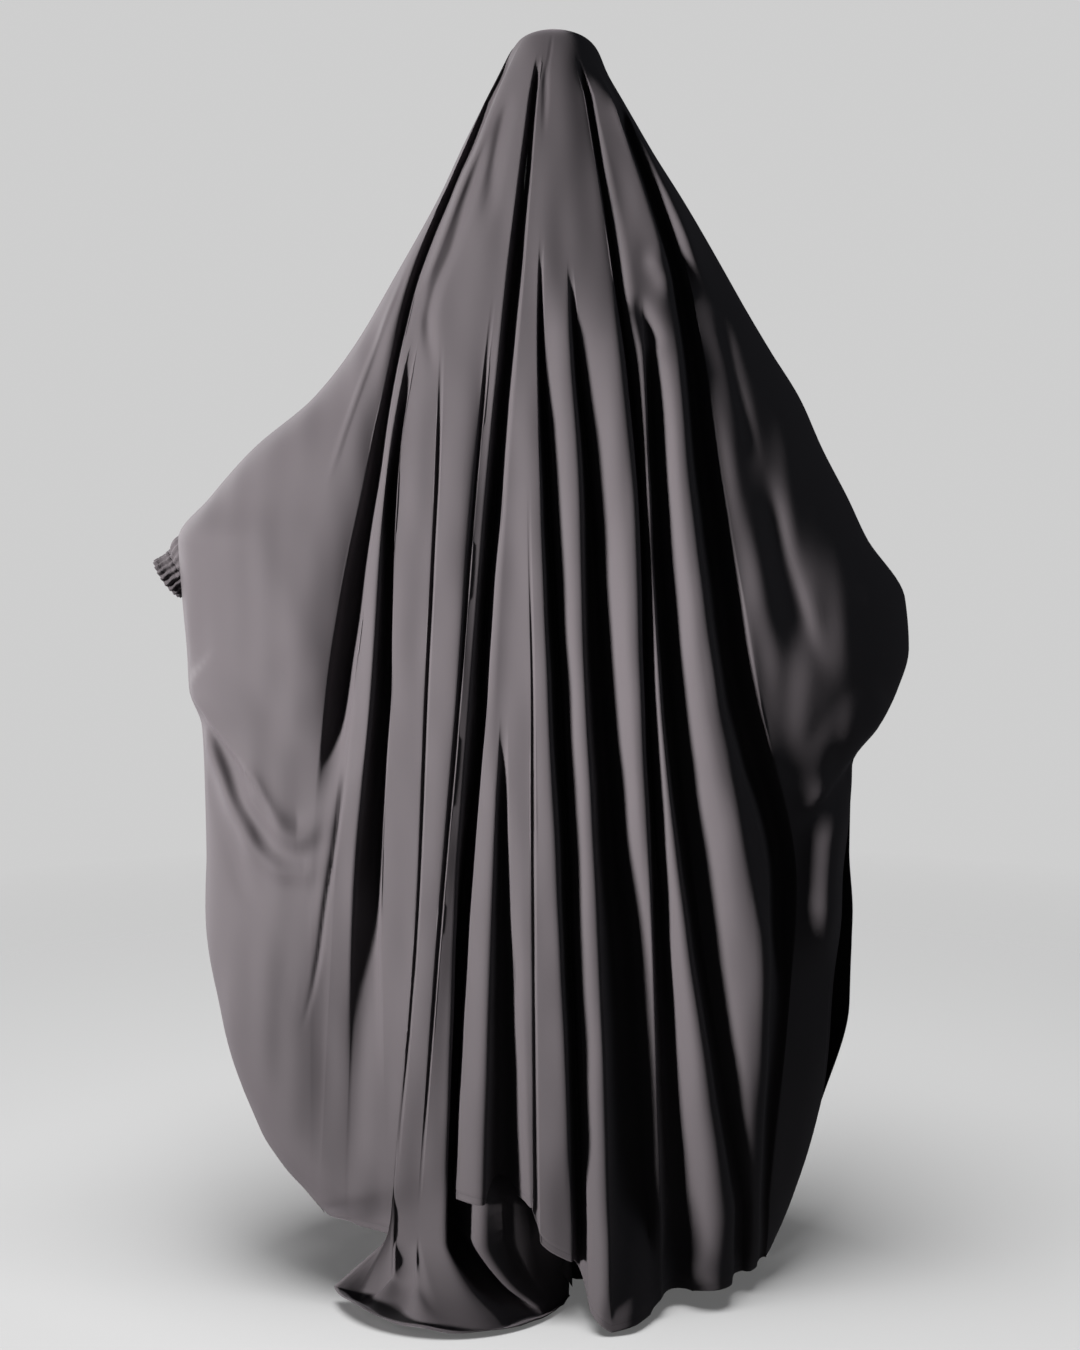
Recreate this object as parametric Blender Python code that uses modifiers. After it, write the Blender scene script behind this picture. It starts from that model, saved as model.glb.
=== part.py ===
"""Two-piece jilbab: a wide hooded cape over a long skirt, hollow as worn.

The wearer's back faces -Y and the face opening +Y. The origin is the inner side of the crown, where
the head holds the cape, and the floor lies CROWN_TO_FLOOR below it. Every panel is one sheet: a grid
whose lines run along the folds and whose rows are level, bent by the tables below and then given
its wall.
"""

import math
from typing import Callable, NamedTuple

import bmesh
import bpy
import numpy as np
from mathutils import Euler, Matrix, Vector

# Driving sizes in metres
CM = 0.01
WALL = 0.0015
CROWN_TO_FLOOR = 1.730
FLOOR_GAP = 0.0005
SEAM_GAP = 0.0005
FIT_GAP = 0.0003
MERGE = 0.000001
SIDE_SEAM_END = 1.23
SIDE_PARTING = 0.012
SIDE_PARTING_RUN = 0.10

# Where the folds are read, as drops below the crown
HEAD, SHOULDER, ELBOW, WRIST, KNEE, SHIN = 0.10, 0.37, 0.635, 0.90, 1.17, 1.60
FOLD_DROPS = (HEAD, SHOULDER, ELBOW, WRIST, KNEE, SHIN)
GIRTH_DROPS = (HEAD, SHOULDER, WRIST, SHIN)
FOLDS_START = 0.03

# Rows of a sheet: level ones first, then shares of what is left down to the hem
LEVEL_ROWS = (
    0.0, 0.002, 0.010, 0.026, 0.055, 0.10, 0.17, 0.26, 0.36, 0.46, 0.565, 0.635, 0.70, 0.785,
    0.857, 0.915, 0.97, 1.04, 1.14, 1.23, 1.31,
)
HEM_ROWS = (0.28, 0.55, 0.72, 0.88, 1.0)
FRONT_HEM_ROWS = (0.50, 1.0)

# How far a pleat between two folds rounds out
CREST_OF_WIDTH = 0.30
CREST_OF_DEPTH = 0.25
CREST_MOST = 0.010

# The back pleat that tucks under itself at the centre-back seam
TUCK_AT = 0.42
TUCK_START = 0.78
TUCK_FULL = 1.12
TUCK_RUN = 0.16
TUCK_TURN = 0.014

# The train that lies on the floor behind the left heel
POOL_CENTRE = (-0.140, -0.190)
POOL_RADII = (0.165, 0.160)
POOL_ANGLES = (math.radians(194.0), math.radians(350.0))
POOL_LANDING = 0.10
POOL_LANDING_CURVE = 2.4
POOL_FALL_SHARE = 0.55
POOL_SPREAD = 1.2
POOL_SIDE_HOLD = 6.0
POOL_SIDE_SHARES = (0.15, 0.50)

# Swags under the arms: the curve of their lines and the shares between which they end
SWAG_CURVE = 1.5
SWAG_ENDS = (0.8, 1.3)
SWAG_EDGE_FADE = 0.040

# The bulge of the hem behind the right heel
HEEL_X = 0.090
HEEL_HALF_WIDTH = 0.050
HEEL_REACH = 0.030
HEEL_START = 1.50

# Face opening and its casing
FACE_DROP = 0.147
FACE_HALF_WIDTH = 0.064
FACE_HALF_HEIGHT = 0.090
FACE_CASING_RADIUS = 0.0032
FACE_GAP = 0.0004
FACE_POINTS = 40
FACE_CUT_Y = 0.11
FACE_CUT_LENGTH = 0.15

# Sleeve ends, cuffs and waistband
TUBE_SIDES = 16
CUFF_GATHER = 0.0008
SLEEVE_GAP = 0.0004
SLEEVE_CUT_PAST = 0.8
WAISTBAND_HEIGHT = 0.035
WAISTBAND_BULGE = 0.0015
WAISTBAND_SIDES = 32
SKIRT_WAVES = 9
SKIRT_STATIONS = 33
SKIRT_SEAM_CALM = 0.20


class Section(NamedTuple):
    """The cape's outline at one height, in centimetres from the crown's vertical axis."""

    drop: float
    left: float
    right: float
    back: float
    front: float
    side: float
    back_inset_left: float
    back_inset_right: float


SECTIONS = (
    Section(0.0, 0.0, 0.0, 0.0, 0.0, 0.0, 0.0, 0.0),
    Section(1.2, -4.3, 4.6, -4.6, 4.5, 0.0, 0.0, 0.0),
    Section(2.6, -5.5, 6.0, -6.2, 6.0, 0.0, 0.0, 0.0),
    Section(5.9, -7.3, 7.5, -8.2, 7.8, 0.0, 0.0, 0.0),
    Section(9.3, -9.1, 9.5, -9.3, 8.8, 0.0, 0.0, 0.0),
    Section(16.0, -12.6, 13.5, -10.5, 9.6, 0.0, 0.0, 0.0),
    Section(22.8, -15.9, 17.9, -11.1, 9.7, 0.0, 0.0, 0.0),
    Section(36.5, -23.8, 26.1, -12.8, 12.0, 0.5, 0.0, 0.0),
    Section(43.5, -28.2, 30.4, -14.0, 13.5, 1.0, 0.0, 0.0),
    Section(50.3, -33.8, 34.8, -15.0, 15.0, 1.5, 0.0, 0.0),
    Section(57.3, -42.3, 38.1, -16.2, 16.0, 2.0, 0.0, 0.0),
    Section(64.3, -48.7, 41.9, -17.3, 17.0, 2.5, 0.0, 0.0),
    Section(70.0, -53.2, 44.7, -18.2, 17.6, 2.5, 0.0, 0.0),
    Section(78.5, -52.7, 50.2, -19.4, 18.2, 2.0, 0.0, 0.0),
    Section(85.7, -52.1, 50.8, -20.3, 18.8, 1.5, 0.0, 0.0),
    Section(91.3, -51.8, 49.2, -21.0, 19.2, 1.0, 0.0, 0.0),
    Section(96.5, -50.0, 46.6, -21.6, 19.6, 0.5, 0.0, 0.0),
    Section(102.0, -49.7, 42.8, -22.2, 20.0, 0.0, 0.0, 0.0),
    Section(114.5, -49.6, 42.7, -23.6, 21.2, 0.0, 0.0, 2.0),
    Section(123.4, -49.9, 43.2, -24.6, 22.0, -1.0, 0.6, 3.2),
    Section(136.9, -47.6, 43.0, -26.2, 23.0, -2.0, 1.4, 4.2),
    Section(152.0, -42.0, 38.6, -28.2, 24.4, -4.0, 1.0, 1.2),
    Section(164.0, -33.0, 34.0, -30.0, 25.6, -7.0, 0.6, 0.6),
    Section(172.9, -30.5, 29.6, -31.4, 26.4, -9.0, 0.3, 0.3),
)


class Fold(NamedTuple):
    """One valley between two pleats, in centimetres.

    The first six numbers place its floor at FOLD_DROPS, the next four are its width and the next
    four its depth at GIRTH_DROPS, and the last two are the hem's height above the floor on its
    left and right.
    """

    name: str
    x_head: float
    x_shoulder: float
    x_elbow: float
    x_wrist: float
    x_knee: float
    x_shin: float
    width_head: float
    width_shoulder: float
    width_wrist: float
    width_shin: float
    depth_head: float
    depth_shoulder: float
    depth_wrist: float
    depth_shin: float
    hem_left: float
    hem_right: float

    @property
    def places(self) -> tuple[float, ...]:
        return self[1:7]

    @property
    def widths(self) -> tuple[float, ...]:
        return self[7:11]

    @property
    def depths(self) -> tuple[float, ...]:
        return self[11:15]


LEFT_FOLDS = (
    Fold("arm", -7.5, -19.6, -24.7, -29.5, -30.5, -29.5, 0.6, 1.2, 4.0, 1.8, 0.2, 2.2, 4.6, 0.5, 9, 9),
    Fold("shoulder", -6.6, -17.2, -21.8, -22.9, -24.5, -25.2, 0.3, 0.8, 2.3, 3.0, 0.1, 0.8, 5.0, 1.6, 10, 10),
    Fold("blade", -5.4, -14.6, -15.6, -16.9, -18.0, -21.6, 0.3, 0.6, 0.9, 0.9, 0.1, 0.4, 1.4, 0.6, 0, 0),
    Fold("spine", -4.1, -8.0, -10.6, -12.6, -14.9, -18.2, 0.3, 0.6, 0.8, 0.9, 0.1, 0.5, 1.2, 1.0, 0, 0),
)
CENTRE_FOLD = Fold(
    "centre", -2.7, -5.5, -7.9, -9.9, -11.9, -13.8, 0.8, 2.0, 2.3, 1.0, 1.1, 4.0, 6.5, 9.5, 0, 15.5
)
RIGHT_FOLDS = (
    Fold("inner", -1.9, -3.7, -5.5, -6.5, -6.8, -6.4, 0.2, 0.4, 1.0, 5.4, 0.0, 0.3, 1.8, 5.5, 15.5, 11.5),
    Fold("sliver", -1.3, -2.8, -3.2, -2.7, -2.6, -2.2, 0.2, 0.4, 0.7, 1.0, 0.0, 0.2, 0.8, 0.8, 11.2, 10.5),
    Fold("nape", -0.6, -1.7, -0.7, 0.7, 2.0, 3.6, 0.4, 0.7, 2.2, 2.2, 0.1, 1.2, 5.5, 5.5, 4, 2),
    Fold("heel", 0.9, 2.6, 5.0, 6.4, 8.3, 10.4, 0.4, 0.8, 3.6, 5.4, 0.1, 1.0, 6.0, 7.0, 0.2, 1),
    Fold("ribs", 4.6, 9.2, 11.8, 12.7, 14.3, 16.8, 0.6, 0.8, 1.1, 4.3, 0.9, 2.5, 4.5, 5.0, 2, 2.5),
    Fold("bump", 6.0, 12.3, 13.7, 15.4, 18.5, 25.4, 0.4, 0.8, 1.8, 1.6, 0.1, 0.9, 4.5, 2.5, 3, 3),
    Fold("elbow", 7.9, 17.7, 20.5, 24.5, 30.0, 28.2, 0.9, 3.6, 5.2, 1.4, 0.3, 3.8, 5.5, 1.2, 3, 3),
)
FRONT_FOLDS = (
    Fold("front_1", -8.0, -18.5, -26.0, -33.0, -34.0, -28.5, 0.4, 1.2, 3.5, 2.4, 0.0, 0.8, 3.0, 1.6, 6, 6),
    Fold("front_2", -6.6, -12.6, -17.6, -21.5, -23.0, -22.5, 0.4, 1.4, 2.8, 3.0, 0.0, 1.0, 4.0, 3.2, 5, 5),
    Fold("front_3", -4.6, -7.6, -11.0, -13.4, -15.4, -15.8, 0.4, 1.0, 2.2, 2.6, 0.0, 0.9, 4.2, 4.2, 5, 5),
    Fold("front_4", -2.0, -3.2, -4.6, -5.8, -6.6, -7.4, 0.4, 1.2, 2.4, 3.2, 0.0, 1.0, 4.4, 4.8, 4, 4),
    Fold("front_5", 1.2, 1.8, 2.4, 3.0, 3.6, 4.0, 0.4, 1.0, 2.0, 2.6, 0.0, 1.0, 4.6, 4.4, 4, 4),
    Fold("front_6", 4.2, 6.9, 9.7, 11.8, 13.6, 14.8, 0.4, 1.2, 2.6, 3.0, 0.0, 0.9, 4.2, 4.6, 5, 5),
    Fold("front_7", 6.3, 12.2, 17.0, 20.2, 22.4, 22.4, 0.4, 1.3, 3.0, 2.8, 0.0, 1.0, 3.8, 3.2, 5, 5),
    Fold("front_8", 8.2, 20.0, 27.0, 32.5, 33.6, 28.5, 0.4, 1.4, 3.4, 2.2, 0.0, 0.8, 3.0, 1.6, 6, 6),
)
EDGE_HEM_LEFT = 8.5
EDGE_HEM_RIGHT = 2.0
EDGE_HEM_FRONT = 7.0


class Swag(NamedTuple):
    """One hanging fold that stands out of the back under an arm, in centimetres.

    It runs from its left end down to its low point and up to its right end. It stands out by
    height, fades over rise above its line and ends within fall below it.
    """

    x_left: float
    drop_left: float
    x_low: float
    drop_low: float
    x_right: float
    drop_right: float
    height: float
    rise: float
    fall: float


SWAGS = (
    Swag(-51.5, 90.0, -36.5, 109.5, -29.5, 99.0, 2.4, 14.0, 3.0),
    Swag(-49.0, 93.0, -36.0, 116.0, -31.0, 110.0, 1.2, 3.5, 3.5),
    Swag(26.5, 96.0, 33.5, 108.0, 47.5, 92.0, 2.6, 12.0, 3.0),
)


class SkirtSection(NamedTuple):
    """The skirt at one height, in centimetres."""

    drop: float
    half_width: float
    half_depth: float
    wave: float


SKIRT_SECTIONS = (
    SkirtSection(72.6, 14.5, 9.5, 0.2),
    SkirtSection(82.0, 16.8, 10.4, 0.4),
    SkirtSection(105.0, 19.4, 11.7, 0.7),
    SkirtSection(140.0, 21.8, 13.4, 1.1),
    SkirtSection(172.5, 23.4, 15.0, 1.4),
)


class TubePlace(NamedTuple):
    """Where a sleeve end starts inside the cape, in centimetres, and which way it runs."""

    x: float
    y: float
    drop: float
    way: tuple[float, float, float]


class TubeRing(NamedTuple):
    """One ring of a tube: its distance from the tube's start and its radius, in centimetres."""

    along: float
    radius: float


LEFT_WRIST = TubePlace(-45.8, 4.4, 69.4, (-0.820, 0.060, -0.570))
RIGHT_WRIST = TubePlace(42.3, 5.1, 78.9, (0.350, 0.550, -0.760))
SLEEVE_RINGS = (
    TubeRing(0.0, 3.5),
    TubeRing(3.6, 4.0),
    TubeRing(7.0, 4.0),
    TubeRing(8.2, 3.6),
    TubeRing(8.7, 3.1),
    TubeRing(8.9, 3.1),
)
CUFF_RINGS = (
    TubeRing(8.93, 3.05),
    TubeRing(9.2, 3.05),
    TubeRing(10.2, 2.95),
    TubeRing(11.2, 3.05),
    TubeRing(11.7, 3.05),
)


class Finish(NamedTuple):
    """The look of one cloth."""

    name: str
    colour: tuple[float, float, float]
    roughness: float


CREPE = Finish("charcoal_crepe", (0.050, 0.047, 0.050), 0.85)
ELASTIC = Finish("gathered_charcoal_crepe", (0.046, 0.044, 0.047), 0.88)


def smooth(knots, values, at):
    """Read a smooth curve through knots and values, level past both ends, with no overshoot."""
    knots, values, at = (np.asarray(item, dtype=float) for item in (knots, values, at))
    slopes = np.diff(values) / np.diff(knots)
    tangents = np.concatenate(([slopes[0]], np.zeros(len(slopes) - 1), [slopes[-1]]))
    same_way = slopes[:-1] * slopes[1:] > 0.0
    total = np.where(same_way, slopes[:-1] + slopes[1:], 1.0)
    tangents[1:-1] = np.where(same_way, 2.0 * slopes[:-1] * slopes[1:] / total, 0.0)
    held = np.clip(at, knots[0], knots[-1])
    left = np.clip(np.searchsorted(knots, held) - 1, 0, len(slopes) - 1)
    span = knots[left + 1] - knots[left]
    part = (held - knots[left]) / span
    return (
        values[left] * (1.0 + 2.0 * part) * (1.0 - part) ** 2
        + values[left + 1] * part**2 * (3.0 - 2.0 * part)
        + span * part * (1.0 - part) * (tangents[left] * (1.0 - part) - tangents[left + 1] * part)
    )


def ease(value, start, end):
    """Rise from 0 at start to 1 at end, level at both."""
    part = np.clip((value - start) / (end - start), 0.0, 1.0)
    return part * part * (3.0 - 2.0 * part)


def outline(column, drop):
    """One column of SECTIONS in metres at each drop, smooth over the round crown too."""
    roots = [math.sqrt(row.drop * CM) for row in SECTIONS]
    return CM * smooth(roots, [getattr(row, column) for row in SECTIONS], np.sqrt(drop))


def fan(drop):
    """How far the folds have fanned out at each drop, 1 from HEAD down."""
    half = (outline("right", drop) - outline("left", drop)) / 2.0
    full = (outline("right", HEAD) - outline("left", HEAD)) / 2.0
    return np.minimum(half / full, 1.0)


def middle(drop):
    """Half way between the cape's two side lines at each drop."""
    return (outline("right", drop) + outline("left", drop)) / 2.0


def fold_place(fold, drop):
    """The x of a fold's floor at each drop."""
    below = CM * smooth(FOLD_DROPS, fold.places, np.maximum(drop, HEAD))
    above = middle(drop) + (fold.x_head * CM - middle(HEAD)) * fan(drop)
    return np.where(drop < HEAD, above, below)


def fold_width(fold, drop):
    """A fold's width from lip to lip at each drop."""
    return CM * smooth(GIRTH_DROPS, fold.widths, np.clip(drop, HEAD, SHIN)) * fan(drop)


def fold_depth(fold, drop):
    """The depth of a fold's floor under the pleats beside it."""
    depth = CM * smooth(GIRTH_DROPS, fold.depths, np.clip(drop, HEAD, SHIN))
    return depth * ease(drop, FOLDS_START, HEAD)


def left_lip(fold):
    """The line along a fold's left edge, as a function of drop."""
    return lambda drop: fold_place(fold, drop) - 0.5 * fold_width(fold, drop)


def right_lip(fold):
    """The line along a fold's right edge, as a function of drop."""
    return lambda drop: fold_place(fold, drop) + 0.5 * fold_width(fold, drop)


def valley(across):
    """A valley's depth as a share of its floor's, from lip (-0.5) to lip (0.5)."""
    return 1.0 - np.abs(2.0 * across) ** 4


def envelope(x, drop, side):
    """The y of the smooth cape without folds, at x on its back (side -1) or front (side 1)."""
    left, right = outline("left", drop), outline("right", drop)
    far = outline("back" if side < 0 else "front", drop)
    seam = outline("side", drop)
    share = (2.0 * x - left - right) / np.maximum(right - left, FIT_GAP)
    return seam + (far - seam) * np.sqrt(np.clip(1.0 - share**2, 0.0, 1.0))


def swag_relief(x, drop):
    """How far the swags push the back out at x and drop, nothing at its side edges."""
    left, right = outline("left", drop), outline("right", drop)
    edge_fade = ease(np.minimum(x - left, right - x), 0.0, SWAG_EDGE_FADE)
    relief = np.zeros_like(x)
    for row in SWAGS:
        swag = Swag(*(value * CM for value in row))
        end_x = np.where(x < swag.x_low, swag.x_left, swag.x_right)
        end_drop = np.where(x < swag.x_low, swag.drop_left, swag.drop_right)
        share = np.clip((x - swag.x_low) / (end_x - swag.x_low), 0.0, SWAG_ENDS[1])
        line = swag.drop_low - (swag.drop_low - end_drop) * share**SWAG_CURVE
        above = ease(drop, line - swag.rise, line)
        below = 1.0 - ease(drop, line, line + swag.fall)
        height = swag.height * (1.0 - ease(share, *SWAG_ENDS))
        relief = relief + height * np.minimum(above, below)
    return relief * edge_fade


def heel_relief(x, drop):
    """How far the hem behind the right heel reaches out along the floor."""
    bell = np.exp(-(((x - HEEL_X) / HEEL_HALF_WIDTH) ** 2))
    return HEEL_REACH * bell * ease(drop, HEEL_START, CROWN_TO_FLOOR)


class Station(NamedTuple):
    """One line of a sheet from crown to hem.

    place gives its x and its depth under the envelope at an array of drops, and hem is its end's
    height above the floor in centimetres. A hem of 0 lies on the floor.
    """

    place: Callable
    hem: float


def across_fold(fold, share):
    """A station inside a fold, share of its width from its floor, -0.5 to 0.5."""

    def place(drop):
        x = fold_place(fold, drop) + share * fold_width(fold, drop)
        return x, valley(share) * fold_depth(fold, drop)

    return Station(place, fold.hem_left + (fold.hem_right - fold.hem_left) * (share + 0.5))


def on_pleat(fold, following, share):
    """A station on the round pleat between two folds, share 0 to 1 of the way over it."""
    start_line, end_line = right_lip(fold), left_lip(following)

    def place(drop):
        start, end = start_line(drop), end_line(drop)
        round_top = CREST_OF_DEPTH * (fold_depth(fold, drop) + fold_depth(following, drop))
        crest = np.minimum(np.minimum(CREST_OF_WIDTH * (end - start), round_top), CREST_MOST)
        return start + share * (end - start), -crest * math.sqrt(4.0 * share * (1.0 - share))

    beside_train = following.hem_left == 0.0
    step = 0.0 if beside_train else following.hem_left - fold.hem_right
    return Station(place, fold.hem_right + step * share)


def on_side(edge, lip, share, edge_hem, lip_hem):
    """A station between the sheet's side edge and its nearest fold, share 0 at the edge."""

    def place(drop):
        start, end = edge(drop), lip(drop)
        return start + share * (end - start), np.zeros_like(start)

    return Station(place, edge_hem + (lip_hem - edge_hem) * share)


def in_tuck(share_open, share_run, raised, hem):
    """A station in the centre fold, which tucks under the pleat on its right lower down.

    share_open places it across the open fold, share_run along the tuck's run, and raised is its
    height off the under layer in turns of the cloth.
    """

    def place(drop):
        tucked = ease(drop, TUCK_START, TUCK_FULL)
        reach = ease(drop, TUCK_START, CROWN_TO_FLOOR) * TUCK_RUN
        width = fold_width(CENTRE_FOLD, drop)
        floor = fold_depth(CENTRE_FOLD, drop)
        open_x = share_open * width
        run_x = TUCK_AT * width + share_run * reach
        open_depth = valley(share_open) * floor
        run_depth = floor - raised * TUCK_TURN
        x = fold_place(CENTRE_FOLD, drop) + open_x + (run_x - open_x) * tucked
        return x, open_depth + (run_depth - open_depth) * tucked

    return Station(place, hem)


SIDE_SHARES = (0.0, 0.004, 0.05, 0.16, 0.34, 0.57, 0.80)
FRONT_SIDE_SHARES = (0.0, 0.004, 0.06, 0.25, 0.60)
VALLEY_SHARES = (-0.5, -0.3, 0.0, 0.3, 0.5)
CREASE_SHARES = (-0.5, 0.0, 0.5)
CREASES = ("blade", "spine", "sliver")
WIDE_PLEATS_AFTER = ("shoulder", "bump", "spine")


def fold_shares(fold):
    """Where the stations of one fold lie across it."""
    narrow = fold.name in CREASES or fold.name.startswith("front")
    return CREASE_SHARES if narrow else VALLEY_SHARES


def pleat_stations(fold, following):
    """Stations on the pleat between two folds: one on its crest, or two where it is wide."""
    shares = (0.33, 0.67) if fold.name in WIDE_PLEATS_AFTER else (0.5,)
    return [on_pleat(fold, following, share) for share in shares]


def folded_stations(folds):
    """Stations across a run of folds and the pleats that part them."""
    stations = [across_fold(folds[0], share) for share in fold_shares(folds[0])]
    for fold, following in zip(folds, folds[1:]):
        stations += pleat_stations(fold, following)
        stations += [across_fold(following, share) for share in fold_shares(following)]
    return stations


def left_edge_of_back(drop):
    return outline("left", drop) + outline("back_inset_left", drop)


def right_edge_of_back(drop):
    return outline("right", drop) - outline("back_inset_right", drop)


def back_left_stations():
    """From the left side edge to the centre-back seam, whose lower end lies tucked under."""
    first = LEFT_FOLDS[0]
    stations = [
        on_side(left_edge_of_back, left_lip(first), share, EDGE_HEM_LEFT, first.hem_left)
        for share in SIDE_SHARES
    ]
    stations += folded_stations(LEFT_FOLDS)
    stations += pleat_stations(LEFT_FOLDS[-1], CENTRE_FOLD)
    stations.append(across_fold(CENTRE_FOLD, -0.5)._replace(hem=0.0))
    stations += [
        in_tuck(-0.38, -0.12, 0.0, 0.0),
        in_tuck(-0.28, 0.10, 0.0, 0.0),
        in_tuck(-0.18, 0.40, 0.0, 0.0),
        in_tuck(-0.08, 0.75, 0.0, 0.0),
        in_tuck(0.0, 1.0, 0.44, 0.0),
    ]
    return stations


def back_right_stations():
    """From the centre-back seam, out of the tuck and over to the right side edge."""
    hem = CENTRE_FOLD.hem_right
    stations = [
        in_tuck(0.0, 1.0, 0.56, 2.0),
        in_tuck(0.08, 0.92, 1.0, 4.0),
        in_tuck(0.18, 0.60, 1.0, 8.0),
        in_tuck(0.28, 0.30, 1.0, 12.0),
        in_tuck(0.38, 0.03, 1.1, hem),
        across_fold(CENTRE_FOLD, 0.5)._replace(hem=hem),
    ]
    stations += pleat_stations(CENTRE_FOLD, RIGHT_FOLDS[0])
    stations += folded_stations(RIGHT_FOLDS)
    last = RIGHT_FOLDS[-1]
    stations += [
        on_side(right_edge_of_back, right_lip(last), share, EDGE_HEM_RIGHT, last.hem_right)
        for share in reversed(SIDE_SHARES)
    ]
    return stations


def front_stations():
    """From the left side edge round the front to the right one."""
    first, last = FRONT_FOLDS[0], FRONT_FOLDS[-1]

    def left_edge(drop):
        return outline("left", drop)

    def right_edge(drop):
        return outline("right", drop)

    stations = [
        on_side(left_edge, left_lip(first), share, EDGE_HEM_FRONT, first.hem_left)
        for share in FRONT_SIDE_SHARES
    ]
    stations += folded_stations(FRONT_FOLDS)
    stations += [
        on_side(right_edge, right_lip(last), share, EDGE_HEM_FRONT, last.hem_right)
        for share in reversed(FRONT_SIDE_SHARES)
    ]
    return stations


def lay_on_floor(x, y, drop, tail, pool_share):
    """Bend the end of a hanging line out along the floor to the train's rim."""
    angle = POOL_ANGLES[0] + (POOL_ANGLES[1] - POOL_ANGLES[0]) * pool_share
    rim_x = POOL_CENTRE[0] + POOL_RADII[0] * math.cos(angle)
    rim_y = POOL_CENTRE[1] + POOL_RADII[1] * math.sin(angle)
    along = np.clip((tail - POOL_FALL_SHARE) / (1.0 - POOL_FALL_SHARE), 0.0, 1.0)
    landed = drop + (POOL_LANDING - FLOOR_GAP) * (1.0 - (1.0 - along) ** POOL_LANDING_CURVE)
    lateness = POOL_SPREAD + POOL_SIDE_HOLD * (1.0 - ease(pool_share, *POOL_SIDE_SHARES))
    out = along**lateness
    return x + (rim_x - x) * out, y + (rim_y - y) * out, landed


def sheet_points(stations, hem_rows, side, shift):
    """The sheet's points, moved along x by shift, as rows by stations by x, y and z."""
    level = np.array(LEVEL_ROWS)
    tail = np.concatenate((np.zeros(len(level)), hem_rows))
    pooled = [index for index, station in enumerate(stations) if station.hem == 0.0]
    columns = []
    for index, station in enumerate(stations):
        on_floor = index in pooled
        hem_drop = CROWN_TO_FLOOR - FLOOR_GAP - station.hem * CM
        end = CROWN_TO_FLOOR - POOL_LANDING if on_floor else hem_drop
        fall = np.minimum(tail / POOL_FALL_SHARE, 1.0) if on_floor else tail
        drop = np.concatenate((level, np.zeros(len(hem_rows))))
        drop = np.where(tail > 0.0, level[-1] + (end - level[-1]) * fall, drop)
        x, depth = station.place(drop)
        y = envelope(x, drop, side) - side * depth
        if side < 0.0:
            y = y - swag_relief(x, drop) - heel_relief(x, drop)
        if on_floor:
            pool_share = (index - pooled[0]) / (len(pooled) - 1)
            x, y, drop = lay_on_floor(x, y, drop, tail, pool_share)
        opened = ease(drop, SIDE_SEAM_END, SIDE_SEAM_END + SIDE_PARTING_RUN)
        parting = SEAM_GAP / 2.0 + SIDE_PARTING * opened
        seam = outline("side", drop)
        y = np.minimum(y, seam - parting) if side < 0.0 else np.maximum(y, seam + parting)
        columns.append(np.stack((x + shift, y, WALL - drop), axis=-1))
    return np.stack(columns, axis=1)


def linked(name, data, collection, finish):
    """Put new object data in a collection under its name, with its finish."""
    if finish:
        data.materials.append(material(finish))
    obj = bpy.data.objects.new(name, data)
    collection.objects.link(obj)
    return obj


def material(finish):
    """The finish's material, made once."""
    made = bpy.data.materials.get(finish.name)
    if made:
        return made
    made = bpy.data.materials.new(finish.name)
    made.use_nodes = True
    shader = made.node_tree.nodes["Principled BSDF"]
    shader.inputs["Base Color"].default_value = (*finish.colour, 1.0)
    shader.inputs["Roughness"].default_value = finish.roughness
    shader.inputs["Metallic"].default_value = 0.0
    return made


def grid_mesh(name, points, flip):
    """A grid bent to rows by columns of points, with points that coincide made one."""
    rows, columns, _ = points.shape
    mesh = bpy.data.meshes.new(name)
    sheet = bmesh.new()
    bmesh.ops.create_grid(sheet, x_segments=columns - 1, y_segments=rows - 1, size=1.0)
    for vertex, point in zip(sheet.verts, points.reshape(-1, 3)):
        vertex.co = Vector(point)
    bmesh.ops.remove_doubles(sheet, verts=sheet.verts, dist=MERGE)
    if flip:
        bmesh.ops.reverse_faces(sheet, faces=sheet.faces)
    sheet.to_mesh(mesh)
    sheet.free()
    mesh.shade_smooth()
    return mesh


def add_wall(obj):
    """Give an open sheet its wall, on its inner side."""
    wall = obj.modifiers.new("wall", "SOLIDIFY")
    wall.thickness = WALL
    wall.offset = -1.0
    return obj


def cut(obj, cutter):
    """Cut one closed shape out of an object."""
    boolean = obj.modifiers.new(f"cut_{cutter.name}", "BOOLEAN")
    boolean.operation = "DIFFERENCE"
    boolean.solver = "EXACT"
    boolean.object = cutter


def tube_points(place, rings, gather=0.0):
    """Points of a straight tube, a row for each ring, closed round."""
    start = Vector((place.x * CM, place.y * CM, WALL - place.drop * CM))
    way = Vector(place.way).normalized()
    across = way.cross(Vector((0.0, 1.0, 0.0))).normalized()
    up = way.cross(across)
    points = []
    for ring in rings:
        row = []
        for side in range(TUBE_SIDES + 1):
            angle = math.tau * (side % TUBE_SIDES) / TUBE_SIDES
            radius = ring.radius * CM + gather * (-1.0) ** (side % TUBE_SIDES)
            out = math.cos(angle) * across + math.sin(angle) * up
            row.append(start + ring.along * CM * way + radius * out)
        points.append(row)
    return np.array(points)


def make_tube(name, place, rings, collection, finish, gather=0.0):
    """A thin-walled tube through its rings."""
    mesh = grid_mesh(name, tube_points(place, rings, gather=gather), flip=False)
    return add_wall(linked(name, mesh, collection, finish))


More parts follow.
